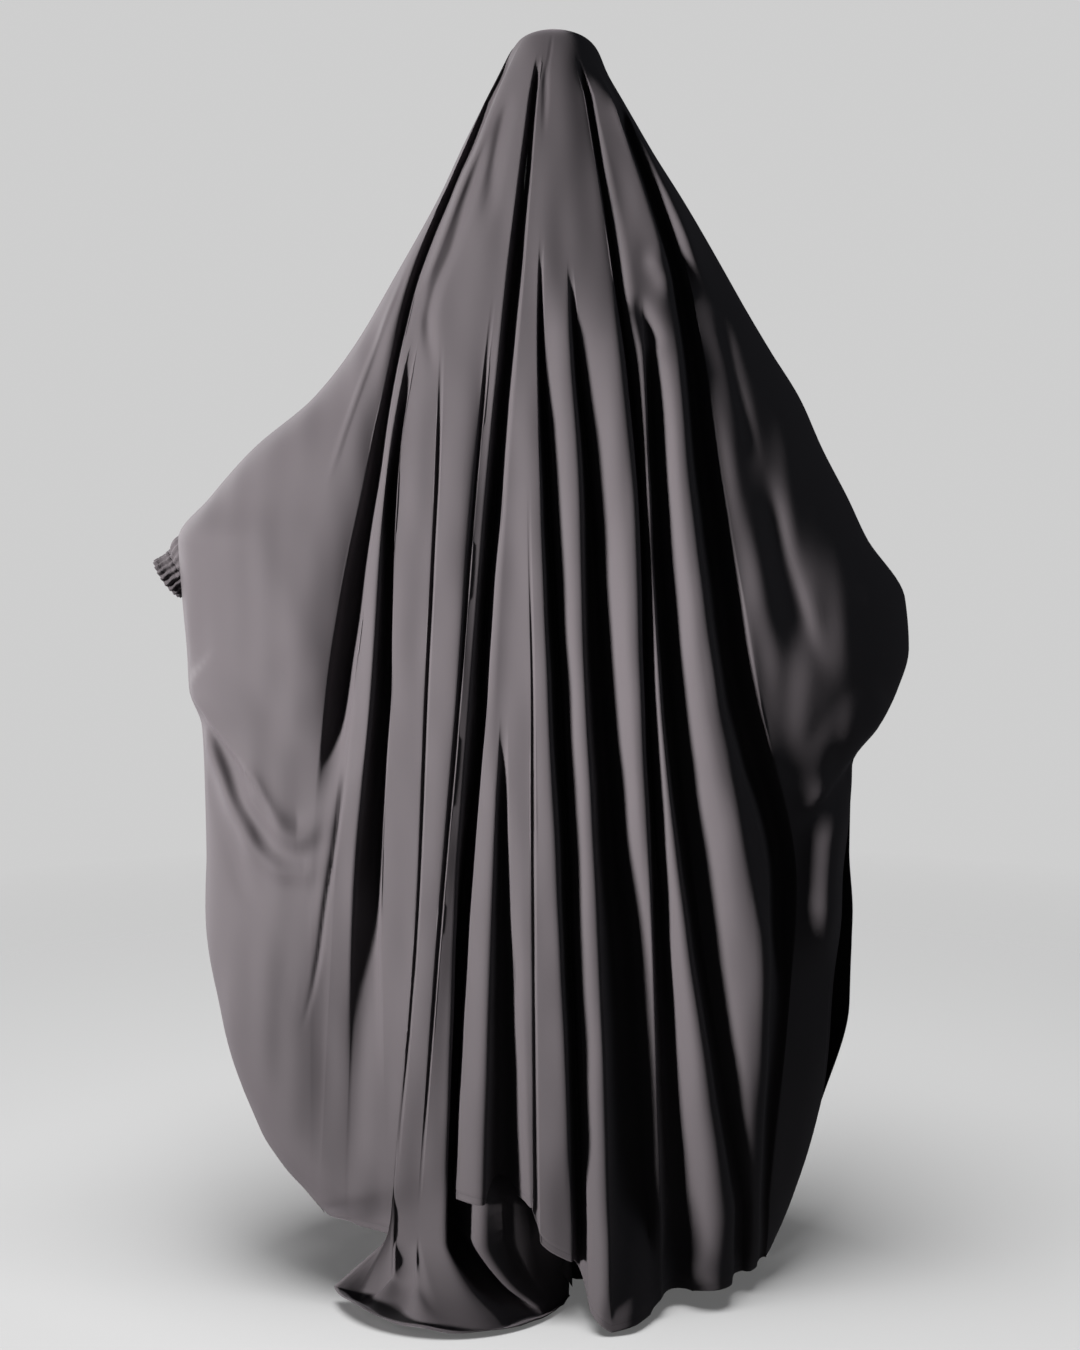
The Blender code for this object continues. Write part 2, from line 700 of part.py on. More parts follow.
def make_sleeve_cutter(name, place, collection):
    """A closed plug a little wider than a sleeve end and cuff, which cuts their way out."""
    grow = (CUFF_GATHER + SLEEVE_GAP) / CM
    rings = [TubeRing(ring.along, ring.radius + grow) for ring in SLEEVE_RINGS + CUFF_RINGS]
    rings.append(TubeRing(rings[-1].along + SLEEVE_CUT_PAST, rings[-1].radius))
    mesh = grid_mesh(name, tube_points(place, rings), flip=False)
    plug = bmesh.new()
    plug.from_mesh(mesh)
    bmesh.ops.holes_fill(plug, edges=[edge for edge in plug.edges if edge.is_boundary])
    bmesh.ops.recalc_face_normals(plug, faces=plug.faces)
    plug.to_mesh(mesh)
    plug.free()
    return as_cutter(linked(name, mesh, collection, None))


def make_face_cutter(collection):
    """An oval prism that lies level through the front of the hood."""
    mesh = bpy.data.meshes.new("face_cutter")
    prism = bmesh.new()
    centre = Vector((0.0, FACE_CUT_Y, WALL - FACE_DROP))
    size = Vector((FACE_HALF_WIDTH, FACE_HALF_HEIGHT, FACE_CUT_LENGTH))
    bmesh.ops.create_cone(
        prism,
        cap_ends=True,
        segments=FACE_POINTS,
        radius1=1.0,
        radius2=1.0,
        depth=1.0,
        matrix=Matrix.LocRotScale(centre, Euler((math.radians(90.0), 0.0, 0.0)), size),
    )
    prism.to_mesh(mesh)
    prism.free()
    return as_cutter(linked("face_cutter", mesh, collection, None))


def as_cutter(obj):
    """Mark an object as a cutter that is not part of the garment."""
    obj.hide_render = True
    obj.display_type = "WIRE"
    return obj


def make_face_band(collection):
    """The rolled elastic casing that lines the face opening."""
    curve = bpy.data.curves.new("face_band", "CURVE")
    curve.dimensions = "3D"
    curve.bevel_depth = FACE_CASING_RADIUS
    curve.bevel_resolution = 1
    spline = curve.splines.new("POLY")
    spline.points.add(FACE_POINTS - 1)
    spline.use_cyclic_u = True
    inset = FACE_CASING_RADIUS + FACE_GAP
    for index, point in enumerate(spline.points):
        angle = math.tau * index / FACE_POINTS
        x = (FACE_HALF_WIDTH - inset) * math.cos(angle)
        drop = FACE_DROP - (FACE_HALF_HEIGHT - inset) * math.sin(angle)
        y = float(envelope(np.array(x), np.array(drop), 1.0)) - WALL / 2.0
        point.co = (x, y, WALL - drop, 1.0)
    return linked("face_band", curve, collection, ELASTIC)


def skirt_points(side):
    """One half of the skirt, rows by stations, from its left side seam to its right one."""
    knots = [row.drop for row in SKIRT_SECTIONS]
    angles = np.linspace(0.0, math.pi, SKIRT_STATIONS)
    rows = []
    for section in SKIRT_SECTIONS:
        calm = ease(np.sin(angles), 0.0, SKIRT_SEAM_CALM)
        ripple = section.wave * CM * calm * np.cos(2.0 * SKIRT_WAVES * angles)
        x = -(section.half_width * CM + ripple) * np.cos(angles)
        y = side * (section.half_depth * CM + ripple) * np.sin(angles)
        y = y + side * SEAM_GAP / 2.0
        z = np.full_like(x, WALL - section.drop * CM)
        rows.append(np.stack((x, y, z), axis=-1))
    return np.stack(rows)


def make_waistband(collection):
    """The elastic casing above the skirt's top edge."""
    top = SKIRT_SECTIONS[0]
    base_drop = top.drop * CM - FIT_GAP
    angles = math.tau * (np.arange(WAISTBAND_SIDES + 1) % WAISTBAND_SIDES) / WAISTBAND_SIDES
    rows = []
    for share, bulge in ((0.0, 0.0), (0.5, WAISTBAND_BULGE), (1.0, 0.0)):
        drop = base_drop - share * WAISTBAND_HEIGHT
        x = (top.half_width * CM + bulge) * np.cos(angles)
        y = (top.half_depth * CM + bulge) * np.sin(angles)
        rows.append(np.stack((x, y, np.full_like(x, WALL - drop)), axis=-1))
    mesh = grid_mesh("waistband", np.stack(rows), flip=False)
    return add_wall(linked("waistband", mesh, collection, ELASTIC))


def clear_scene():
    for obj in list(bpy.data.objects):
        bpy.data.objects.remove(obj, do_unlink=True)


def new_collection(name):
    collection = bpy.data.collections.new(name)
    bpy.context.scene.collection.children.link(collection)
    return collection


def main():
    clear_scene()
    garment = new_collection("two_piece_jilbab")
    cutters = new_collection("cutters")

    left_plug = make_sleeve_cutter("left_sleeve_cutter", LEFT_WRIST, cutters)
    right_plug = make_sleeve_cutter("right_sleeve_cutter", RIGHT_WRIST, cutters)
    face_plug = make_face_cutter(cutters)

    panels = (
        ("cape_back_left", back_left_stations(), HEM_ROWS, -1.0, -SEAM_GAP / 2.0),
        ("cape_back_right", back_right_stations(), HEM_ROWS, -1.0, SEAM_GAP / 2.0),
        ("cape_front", front_stations(), FRONT_HEM_ROWS, 1.0, 0.0),
    )
    made = {}
    for name, stations, hem_rows, side, shift in panels:
        points = sheet_points(stations, hem_rows, side, shift)
        mesh = grid_mesh(name, points, flip=side < 0.0)
        made[name] = add_wall(linked(name, mesh, garment, CREPE))
    cut(made["cape_back_left"], left_plug)
    for plug in (left_plug, right_plug, face_plug):
        cut(made["cape_front"], plug)

    make_face_band(garment)
    for end, place in (("left", LEFT_WRIST), ("right", RIGHT_WRIST)):
        make_tube(f"sleeve_end_{end}", place, SLEEVE_RINGS, garment, CREPE)
        make_tube(f"cuff_{end}", place, CUFF_RINGS, garment, ELASTIC, gather=CUFF_GATHER)

    for name, side in (("skirt_back", -1.0), ("skirt_front", 1.0)):
        mesh = grid_mesh(name, skirt_points(side), flip=side < 0.0)
        add_wall(linked(name, mesh, garment, CREPE))
    make_waistband(garment)


main()
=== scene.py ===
"""Looks of a two-piece jilbab: a wide hooded cape over a long skirt, hollow as worn.

Every panel of cloth is laid again over its solid as a fine sheet, from the same sections and folds,
and then gets the softer creases, hems, gathers and seams that its solid leaves out. The garment's
back faces -Y, and the origin is the inner side of the crown.
"""

import logging
import math
from dataclasses import dataclass, field
from enum import Enum
from typing import Callable, NamedTuple, Sequence

import bmesh
import bpy
import numpy as np
from mathutils import Matrix, Vector


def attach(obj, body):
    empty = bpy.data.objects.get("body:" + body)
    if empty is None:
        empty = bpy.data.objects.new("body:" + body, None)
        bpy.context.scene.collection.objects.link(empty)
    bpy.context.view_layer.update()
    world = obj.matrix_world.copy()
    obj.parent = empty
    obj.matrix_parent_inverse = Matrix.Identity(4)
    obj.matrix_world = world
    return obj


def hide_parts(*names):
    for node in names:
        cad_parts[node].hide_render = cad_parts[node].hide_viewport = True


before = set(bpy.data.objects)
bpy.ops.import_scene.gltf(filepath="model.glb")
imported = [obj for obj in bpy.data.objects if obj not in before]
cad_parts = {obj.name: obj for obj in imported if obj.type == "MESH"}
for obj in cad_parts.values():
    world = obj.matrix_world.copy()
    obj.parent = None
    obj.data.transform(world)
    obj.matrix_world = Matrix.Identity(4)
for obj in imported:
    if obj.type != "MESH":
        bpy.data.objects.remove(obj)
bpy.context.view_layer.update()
log = logging.getLogger("jilbab")

# Driving sizes in metres, the same as the solids'
CM = 0.01
WALL = 0.0015
CROWN_TO_FLOOR = 1.730
FLOOR_GAP = 0.0005
SEAM_GAP = 0.0005
MERGE = 0.000001
TINY = 1e-12
LEAST_WIDTH = 0.0003
SIDE_SEAM_END = 1.23
SIDE_PARTING = 0.012
SIDE_PARTING_RUN = 0.10

# Where the folds are read, as drops below the crown
HEAD, SHOULDER, ELBOW, WRIST, KNEE, SHIN = 0.10, 0.37, 0.635, 0.90, 1.17, 1.60
FOLD_DROPS = (HEAD, SHOULDER, ELBOW, WRIST, KNEE, SHIN)
GIRTH_DROPS = (HEAD, SHOULDER, WRIST, SHIN)

# Cloth and its hems
CLOTH = 0.0008
HEM_DEPTH = 0.011
HEM_RAISED = 0.0006
HEM_STEP = 0.0016
EDGE_TURN = 0.007

# The lobe of the right panel's hem that reaches out along the floor
LOBE_PLACE = 0.083
LOBE_WIDTH = 0.046
LOBE_REACH = 0.036
LOBE_START = 1.50

# How a given line is measured against: steps for each of its points, and farther than any place
LINE_STEPS = 6
FAR = 9.0

# Short names for types that come again
Grid = np.ndarray
Line = Callable[[Grid], Grid]
Pair = tuple[float, float]
Triple = tuple[float, float, float]
Pairs = tuple[Pair, ...]


class Side(Enum):
    """Which side of the garment a panel is on, as the sign of its outward Y."""

    BACK = -1.0
    FRONT = 1.0


class Edge(Enum):
    """Which side edge of the cape, as the way along X from it towards the middle."""

    LEFT = 1.0
    RIGHT = -1.0

    def line(self, on_back: bool) -> Line:
        """The edge's x as a function of drop, set in below the side seam on the back.

        Args:
            on_back: True for a back panel.

        Returns:
            The line.
        """
        column = self.name.lower()
        if not on_back:
            return lambda drop: outline(column, drop)
        return lambda drop: outline(column, drop) + self.value * outline(f"back_inset_{column}", drop)


class Section(NamedTuple):
    """The cape's outline at one height, in centimetres from the crown's vertical axis."""

    drop: float
    left: float
    right: float
    back: float
    front: float
    side: float
    back_inset_left: float = 0.0
    back_inset_right: float = 0.0


SECTIONS = tuple(
    Section(*row)
    for row in (
        (0, 0, 0, 0, 0, 0),
        (1.2, -4.3, 4.6, -4.6, 4.5, 0),
        (2.6, -5.5, 6, -6.2, 6, 0),
        (5.9, -7.3, 7.5, -8.2, 7.8, 0),
        (9.3, -9.1, 9.5, -9.3, 8.8, 0),
        (16, -12.6, 13.5, -10.5, 9.6, 0),
        (22.8, -15.9, 17.9, -11.1, 9.7, 0),
        (36.5, -23.8, 26.1, -12.8, 12, 0.5),
        (43.5, -28.2, 30.4, -14, 13.5, 1),
        (50.3, -33.8, 34.8, -15, 15, 1.5),
        (57.3, -42.3, 38.1, -16.2, 16, 2),
        (64.3, -48.7, 41.9, -17.3, 17, 2.5),
        (70, -53.2, 44.7, -18.2, 17.6, 2.5),
        (78.5, -52.7, 50.2, -19.4, 18.2, 2),
        (85.7, -52.1, 50.8, -20.3, 18.8, 1.5),
        (91.3, -51.8, 49.2, -21, 19.2, 1),
        (96.5, -50, 46.6, -21.6, 19.6, 0.5),
        (102, -49.7, 42.8, -22.2, 20, 0),
        (114.5, -49.6, 42.7, -23.6, 21.2, 0, 0, 2),
        (123.4, -49.9, 43.2, -24.6, 22, -1, 0.6, 3.2),
        (136.9, -47.6, 43, -26.2, 23, -2, 1.4, 4.2),
        (152, -42, 38.6, -28.2, 24.4, -4, 1, 1.2),
        (164, -33, 34, -30, 25.6, -7, 0.6, 0.6),
        (172.9, -30.5, 29.6, -31.4, 26.4, -9, 0.3, 0.3),
    )
)


class Fold(NamedTuple):
    """One valley between two pleats, in centimetres.

    places is its floor's x at FOLD_DROPS, widths and depths are read at GIRTH_DROPS, and hems are the
    hem's heights above the floor on its left and right. ramp is the share of its depth left where
    the next pleat starts to rise, and roll the share by which the pleat before it rolls over its
    lip. floor is its deepest place, as a share of its width. The fold grows between the two drops of
    born and loses a share, spent, of its depth between the two of spending.
    """

    name: str
    places: tuple[float, ...]
    widths: tuple[float, ...]
    depths: tuple[float, ...]
    hems: Pair
    ramp: float = 0.30
    roll: float = 0.06
    floor: float = 0.40
    born: Pair = (0.03, 0.10)
    spent: float = 0.0
    spending: Pair = (0.90, 1.10)

    def place(self, drop: Grid) -> Grid:
        """The x of the fold's floor.

        Args:
            drop: depths below the crown.

        Returns:
            The x at each drop.
        """
        below = CM * smooth(FOLD_DROPS, self.places, np.maximum(drop, HEAD))
        above = middle(drop) + (self.places[0] * CM - middle(HEAD)) * fan(drop)
        return np.where(drop < HEAD, above, below)

    def width(self, drop: Grid) -> Grid:
        """The fold's width from lip to lip at each drop."""
        return CM * smooth(GIRTH_DROPS, self.widths, np.clip(drop, HEAD, SHIN)) * fan(drop)

    def depth(self, drop: Grid) -> Grid:
        """The depth of the fold's floor under the pleats beside it.

        Args:
            drop: depths below the crown.

        Returns:
            The depth at each drop.
        """
        depth = CM * smooth(GIRTH_DROPS, self.depths, np.clip(drop, HEAD, SHIN))
        kept = 1.0 - self.spent * ease(drop, *self.spending)
        return depth * kept * ease(drop, *self.born)

    def lip(self, side: float) -> Line:
        """The line along the fold's left (-0.5) or right (0.5) edge, as a function of drop."""
        return lambda drop: self.place(drop) + side * self.width(drop)


# Each run of folds goes from the left to the right, as seen from behind
LEFT_FOLDS = (
    Fold(
        "arm", (-8.6, -19.7, -24.7, -28.9, -31.2, -32.5), (1.5, 1.3, 3.8, 1.2), (2.4, 2.8, 5.2, 0.5),
        (9, 9), 0.03, 0.28, 0.6, (0.015, 0.07), 0.96, (0.88, 1.05),
    ),
    Fold(
        "shoulder", (-6.6, -17.6, -21.8, -22.9, -24.9, -25.4), (0.3, 0.8, 2.3, 5.8), (1, 3.5, 5.2, 3.6),
        (10, 10), 0.05, 0.3, 0.72, (0.42, 0.66), 0.98, (1.04, 1.44),
    ),
    Fold(
        "blade", (-5.4, -14.6, -15.6, -16.9, -18, -21.6), (0.3, 0.6, 0.7, 0.5), (0.3, 0.5, 0.5, 0.3),
        (0, 0), 0, 0, 0.5, (0.42, 0.6), 1, (1.3, 1.56),
    ),
    Fold(
        "spine", (-4.1, -8, -10.6, -12.6, -14.9, -18.2), (0.3, 0.6, 0.7, 0.5), (0.3, 0.5, 0.5, 0.3),
        (0, 0), 0, 0, 0.5, (0.36, 0.55), 1, (1.36, 1.6),
    ),
)
CENTRE_FOLD = Fold(
    "centre", (-2.7, -5.5, -7.9, -9.9, -11.9, -13.8), (1.2, 2.1, 2.3, 1), (2, 4.4, 6.5, 9.5),
    (0, 16.2), 0.05, 0.05, 0.55, (0.045, 0.1),
)
RIGHT_FOLDS = (
    Fold(
        "inner", (-1.9, -3.7, -5.5, -6.5, -6.8, -6.4), (0.2, 0.4, 1, 5.4), (0.5, 0.8, 1.8, 5.5),
        (16, 16), 0.2, 0.03, 0.45, (0.92, 1.12),
    ),
    Fold(
        "sliver", (-1.3, -2.8, -3.2, -2.7, -2.6, -2.2), (0.2, 0.4, 0.6, 0.8), (0.3, 0.3, 0.3, 0.4),
        (15.5, 11.3), 0, 0, 0.5, (0.6, 0.9),
    ),
    Fold(
        "nape", (-0.6, -1.7, -0.7, 0.7, 2, 3.6), (0.4, 0.9, 2.2, 2.2), (1, 3, 5.5, 5.5),
        (8.5, 3.2), 0.15, 0.03, 0.55, (0.29, 0.46),
    ),
    Fold(
        "heel", (0.9, 2.6, 5, 6.4, 8.3, 10.4), (0.4, 0.9, 3.6, 5.4), (1, 3, 6, 7),
        (0.4, 1.2), 0.3, 0.03, 0.45, (0.32, 0.5), 1, (1.57, 1.715),
    ),
    Fold(
        "ribs", (4.7, 8.9, 11.8, 12.7, 14.3, 16.8), (0.9, 0.9, 1.1, 4.3), (1.5, 2.8, 4.5, 5),
        (2.5, 2.5), 0.4, 0.05, 0.45, (0.045, 0.1), 0.4, (1.62, 1.72),
    ),
    Fold(
        "bump", (6, 12.3, 13.7, 15.4, 18.5, 25.4), (0.4, 0.8, 1.8, 1.6), (1, 2.5, 4.5, 2.5),
        (3, 3), 0.75, 0.05, 0.4, (0.37, 0.52),
    ),
    Fold(
        "elbow", (8.6, 17.7, 21.2, 25.3, 31.4, 29.2), (1.4, 2.8, 4.9, 1.4), (2, 4.4, 5.8, 1.2),
        (3, 3), 0.15, 0.04, 0.42, (0.05, 0.11),
    ),
)
FRONT_FOLDS = (
    Fold("front_1", (-8, -18.5, -26, -33, -34, -28.5), (0.4, 1.2, 3.5, 2.4), (0, 0.8, 3, 1.6), (6, 6)),
    Fold("front_2", (-6.6, -12.6, -17.6, -21.5, -23, -22.5), (0.4, 1.4, 2.8, 3), (0, 1, 4, 3.2), (5, 5)),
    Fold(
        "front_3", (-4.6, -7.6, -11, -13.4, -15.4, -15.8), (0.4, 1, 2.2, 2.6), (0, 0.9, 4.2, 4.2),
        (5, 5),
    ),
    Fold("front_4", (-2, -3.2, -4.6, -5.8, -6.6, -7.4), (0.4, 1.2, 2.4, 3.2), (0, 1, 4.4, 4.8), (4, 4)),
    Fold("front_5", (1.2, 1.8, 2.4, 3, 3.6, 4), (0.4, 1, 2, 2.6), (0, 1, 4.6, 4.4), (4, 4)),
    Fold("front_6", (4.2, 6.9, 9.7, 11.8, 13.6, 14.8), (0.4, 1.2, 2.6, 3), (0, 0.9, 4.2, 4.6), (5, 5)),
    Fold("front_7", (6.3, 12.2, 17, 20.2, 22.4, 22.4), (0.4, 1.3, 3, 2.8), (0, 1, 3.8, 3.2), (5, 5)),
    Fold("front_8", (8.2, 20, 27, 32.5, 33.6, 28.5), (0.4, 1.4, 3.4, 2.2), (0, 0.8, 3, 1.6), (6, 6)),
)

# Folds that are no more than a crease, beside which the pleats are flatter
THIN_FOLDS = {"blade", "spine", "sliver"}

# The hem's height above the floor at the cape's side edges, in centimetres
EDGE_HEM_LEFT = 8.5
EDGE_HEM_RIGHT = 2.0
EDGE_HEM_FRONT = 7.0


def smooth(knots: Sequence[float], values: Sequence[float], at: Grid) -> Grid:
    """Read a smooth curve, level past both ends, with no overshoot.

    Args:
        knots: where the curve is known, rising.
        values: its values there.
        at: where to read it.

    Returns:
        The curve's values at those places.
    """
    knots, values, at = (np.asarray(item, dtype=float) for item in (knots, values, at))
    slopes = np.diff(values) / np.diff(knots)
    tangents = np.concatenate(([slopes[0]], np.zeros(len(slopes) - 1), [slopes[-1]]))
    same_way = slopes[:-1] * slopes[1:] > 0.0
    total = np.where(same_way, slopes[:-1] + slopes[1:], 1.0)
    tangents[1:-1] = np.where(same_way, 2.0 * slopes[:-1] * slopes[1:] / total, 0.0)
    held = np.clip(at, knots[0], knots[-1])
    left = np.clip(np.searchsorted(knots, held) - 1, 0, len(slopes) - 1)
    span = knots[left + 1] - knots[left]
    part = (held - knots[left]) / span
    return (
        values[left] * (1.0 + 2.0 * part) * (1.0 - part) ** 2
        + values[left + 1] * part**2 * (3.0 - 2.0 * part)
        + span * part * (1.0 - part) * (tangents[left] * (1.0 - part) - tangents[left + 1] * part)
    )


def ease(value: Grid, start: float, end: float) -> Grid:
    """Rise from 0 at start to 1 at end, level at both.

    Args:
        value: where to read the rise.
        start: where it begins.
        end: where it ends.

    Returns:
        The risen share.
    """
    part = np.clip((value - start) / (end - start), 0.0, 1.0)
    return part * part * (3.0 - 2.0 * part)


def outline(column: str, drop: Grid) -> Grid:
    """Read one column of SECTIONS in metres, smooth over the round crown too.

    Args:
        column: the column's name.
        drop: depths below the crown.

    Returns:
        The column's value at each drop.
    """
    roots = [math.sqrt(row.drop * CM) for row in SECTIONS]
    return CM * smooth(roots, [getattr(row, column) for row in SECTIONS], np.sqrt(drop))


def fan(drop: Grid) -> Grid:
    """How far the folds have fanned out at each drop, 1 from HEAD down.

    Args:
        drop: depths below the crown.

    Returns:
        The share at each drop.
    """
    half = (outline("right", drop) - outline("left", drop)) / 2.0
    full = (outline("right", HEAD) - outline("left", HEAD)) / 2.0
    return np.minimum(half / full, 1.0)


def middle(drop: Grid) -> Grid:
    """Half way between the cape's two side lines at each drop."""
    return (outline("right", drop) + outline("left", drop)) / 2.0


def envelope(x: Grid, drop: Grid, side: Side) -> Grid:
    """The y of the smooth cape without folds.

    Args:
        x: places across.
        drop: depths below the crown.
        side: the back or the front.

    Returns:
        The y at each place.
    """
    left, right = outline("left", drop), outline("right", drop)
    far = outline("back" if side is Side.BACK else "front", drop)
    seam = outline("side", drop)
    share = (2.0 * x - left - right) / np.maximum(right - left, LEAST_WIDTH)
    return seam + (far - seam) * np.sqrt(np.clip(1.0 - share**2, 0.0, 1.0))


@dataclass(frozen=True)
class Profile:
    """How a fold and the pleat after it are shaped, seen from the hem up."""

    wall_curve: float = 2.6
    rise_curve: float = 2.0
    ramp_end: float = 0.62
    ramp_curve: float = 1.7
    roll_start: float = 0.80
    side_roll_start: float = 0.76
    roll_curve: float = 2.2
    crest_lean: float = 1.45
    crest_edge: float = 0.34
    crest_of_width: float = 0.24
    crest_of_depth: float = 0.50
    crest_most: float = 0.011

    def valley(self, across: float, fold: Fold) -> float:
        """A valley's depth as a share of its floor's.

        Args:
            across: from its left lip, -0.5, to its right one, 0.5.
            fold: the valley.

        Returns:
            The share of the floor's depth.
        """
        part = across + 0.5
        if part < fold.floor:
            wall = 1.0 - (1.0 - part / fold.floor) ** self.wall_curve
            return fold.roll + (1.0 - fold.roll) * wall
        rise = ((part - fold.floor) / (1.0 - fold.floor)) ** self.rise_curve
        return 1.0 - (1.0 - fold.ramp) * rise

    def ramp(self, share: float) -> float:
        """How much of the valley's recess is left, share 0 to 1 of the way over a pleat."""
        return max(0.0, 1.0 - share / self.ramp_end) ** self.ramp_curve

    def roll(self, share: float, start: float) -> float:
        """How far the cloth rolls over from start into the next valley, share of the way over it."""
        return max(0.0, (share - start) / (1.0 - start)) ** self.roll_curve

    def crest(self, share: float) -> float:
        """The round of a pleat, which leans to its right.

        Args:
            share: how far over the pleat, 0 to 1.

        Returns:
            The round's height as a share of its peak.
        """
        peak = self.crest_lean / (self.crest_lean + self.crest_edge)
        most = peak**self.crest_lean * (1.0 - peak) ** self.crest_edge
        return share**self.crest_lean * (1.0 - share) ** self.crest_edge / most


class Station(NamedTuple):
    """One line of a sheet from crown to hem.

    place gives its x and its depth under the envelope at an array of drops, and hem is its end's
    height above the floor in centimetres. A hem of 0 lies on the floor.
    """

    place: Callable[[Grid], tuple[Grid, Grid]]
    hem: float

    @property
    def on_floor(self) -> bool:
        """Whether the line ends on the floor."""
        return self.hem == 0.0


@dataclass
class Train:
    """The end of the left back panel, which lies on the floor.

    A line that ends there hangs for fall_share of its last stretch and then runs out over the floor
    to the rim, an arc of an oval between two angles. Each ridge has its place along the rim where it
    starts and where it ends, its width and its height.
    """

    centre: Pair = (-0.140, -0.190)
    radii: Pair = (0.165, 0.160)
    angles: Pair = (math.radians(194.0), math.radians(350.0))
    landing: float = 0.10
    landing_curve: float = 1.35
    fall_share: float = 0.55
    spread: float = 1.2
    side_hold: float = 4.0
    side_shares: Pair = (0.15, 0.50)
    curl: Pair = (0.022, 0.006)
    curl_shares: Pair = (0.18, 0.72)
    lying: float = 0.004
    swell_back: Pair = (0.15, 0.75)
    ridge_rise: float = 0.25
    ridge_fade: float = 0.72
    ridge_lost: float = 0.75
    rim_start: float = 0.90
    trough_start: Pair = (0.45, 0.75)
    trough_end: Pair = (0.82, 0.90)
    ridges: tuple[tuple[float, float, float, float], ...] = (
        (0.10, 0.16, 0.07, 0.014),
        (0.33, 0.42, 0.06, 0.012),
    )

    def lay(self, x: Grid, y: Grid, drop: Grid, tail: Grid, share: float) -> tuple[Grid, Grid, Grid]:
        """Bend the end of a hanging line out along the floor to the train's rim.

        Args:
            x: the line's places across.
            y: its places in depth.
            drop: its depths below the crown.
            tail: how far down its last stretch each point is, 0 to 1.
            share: where the line ends along the rim, 0 to 1.

        Returns:
            The bent line's x, y and drop.
        """
        angle = self.angles[0] + (self.angles[1] - self.angles[0]) * share
        rim_x = self.centre[0] + self.radii[0] * math.cos(angle)
        rim_y = self.centre[1] + self.radii[1] * math.sin(angle)
        along = np.clip((tail - self.fall_share) / (1.0 - self.fall_share), 0.0, 1.0)
        landed = drop + (self.landing - FLOOR_GAP) * (1.0 - (1.0 - along) ** self.landing_curve)
        lateness = self.spread + self.side_hold * (1.0 - ease(share, *self.side_shares))
        out = along**lateness
        raised = self.relief(along, share)
        back = raised * (1.0 - ease(along, *self.swell_back))
        up = np.maximum(raised - back + self.edge(along, share), 0.0)
        return x + (rim_x - x) * out, y + (rim_y - y) * out - back, landed - up

    def relief(self, along: Grid, share: float) -> Grid:
        """The soft ridges that run down the fall and out over the floor.

        Args:
            along: how far along its floor run each point is, 0 to 1.
            share: where its line ends along the rim, 0 to 1.

        Returns:
            How far each point stands off.
        """
        total = np.zeros_like(along)
        for start, end, width, height in self.ridges:
            place = start + (end - start) * along
            total += height * np.exp(-(((share - place) / width) ** 2))
        risen = total * ease(along, 0.0, self.ridge_rise)
        return risen * (1.0 - self.ridge_lost * ease(along, self.ridge_fade, 1.0))

    def edge(self, along: Grid, share: float) -> Grid:
        """The rim's curl off the floor and the trough inside it.

        Args:
            along: how far along its floor run each point is, 0 to 1.
            share: where its line ends along the rim, 0 to 1.

        Returns:
            How far each point is raised.
        """
        curl = self.curl[0] + (self.curl[1] - self.curl[0]) * float(ease(share, *self.curl_shares))
        rolled = curl * ease(along, self.rim_start, 1.0)
        trough = ease(along, *self.trough_start) * (1.0 - ease(along, *self.trough_end))
        return rolled + self.lying * trough


def along_line(x: Grid, drop: Grid, line: Sequence[Pair]) -> tuple[Grid, Grid]:
    """Measure places on a sheet against a given line.

    Args:
        x: the places' x in metres.
        drop: their depths below the crown in metres.
        line: the line's points, x and drop in centimetres.

    Returns:
        The signed distance, above 0 to the line's left as it runs, and the share along the line.
    """
    knots = np.array(line, dtype=float) * CM
    runs = np.concatenate(([0.0], np.cumsum(np.linalg.norm(np.diff(knots, axis=0), axis=1))))
    steps = np.linspace(0.0, runs[-1], LINE_STEPS * len(knots))
    path = np.stack((smooth(runs, knots[:, 0], steps), smooth(runs, knots[:, 1], steps)), axis=-1)
    best = np.full(x.shape, FAR)
    share = np.zeros_like(x)
    for index, (start, end) in enumerate(zip(path, path[1:])):
        way = end - start
        part = np.clip(((x - start[0]) * way[0] + (drop - start[1]) * way[1]) / (way @ way), 0.0, 1.0)
        off_x, off_d = x - start[0] - part * way[0], drop - start[1] - part * way[1]
        distance = np.hypot(off_x, off_d)
        sign = np.where(way[0] * off_d - way[1] * off_x > 0.0, -1.0, 1.0)
        closer = distance < np.abs(best)
        best = np.where(closer, sign * distance, best)
        share = np.where(closer, (index + part) / (len(path) - 1), share)
    return best, share


@dataclass(frozen=True)
class Crease:
    """A soft ridge, or a trough where its height is below 0, along a line in centimetres.

    width is its reach to one side of the line, and steep its reach on the +X side of a line that
    runs down, where that differs.
    """

    name: str
    line: tuple[Pair, ...]
    height: float
    width: float
    fade_in: float = 0.25
    fade_out: float = 0.25
    steep: float = 0.0

    def relief(self, x: Grid, drop: Grid) -> Grid:
        """How far the crease pushes the cloth out at x and drop, in metres.

        Args:
            x: places across.
            drop: their depths below the crown.

        Returns:
            The push at each place.
        """
        distance, share = along_line(x, drop, self.line)
        ends = ease(share, 0.0, self.fade_in) * (1.0 - ease(share, 1.0 - self.fade_out, 1.0))
        reach = np.where(distance > 0.0, self.steep or self.width, self.width) * CM
        return self.height * CM * np.exp(-((distance / reach) ** 2)) * ends


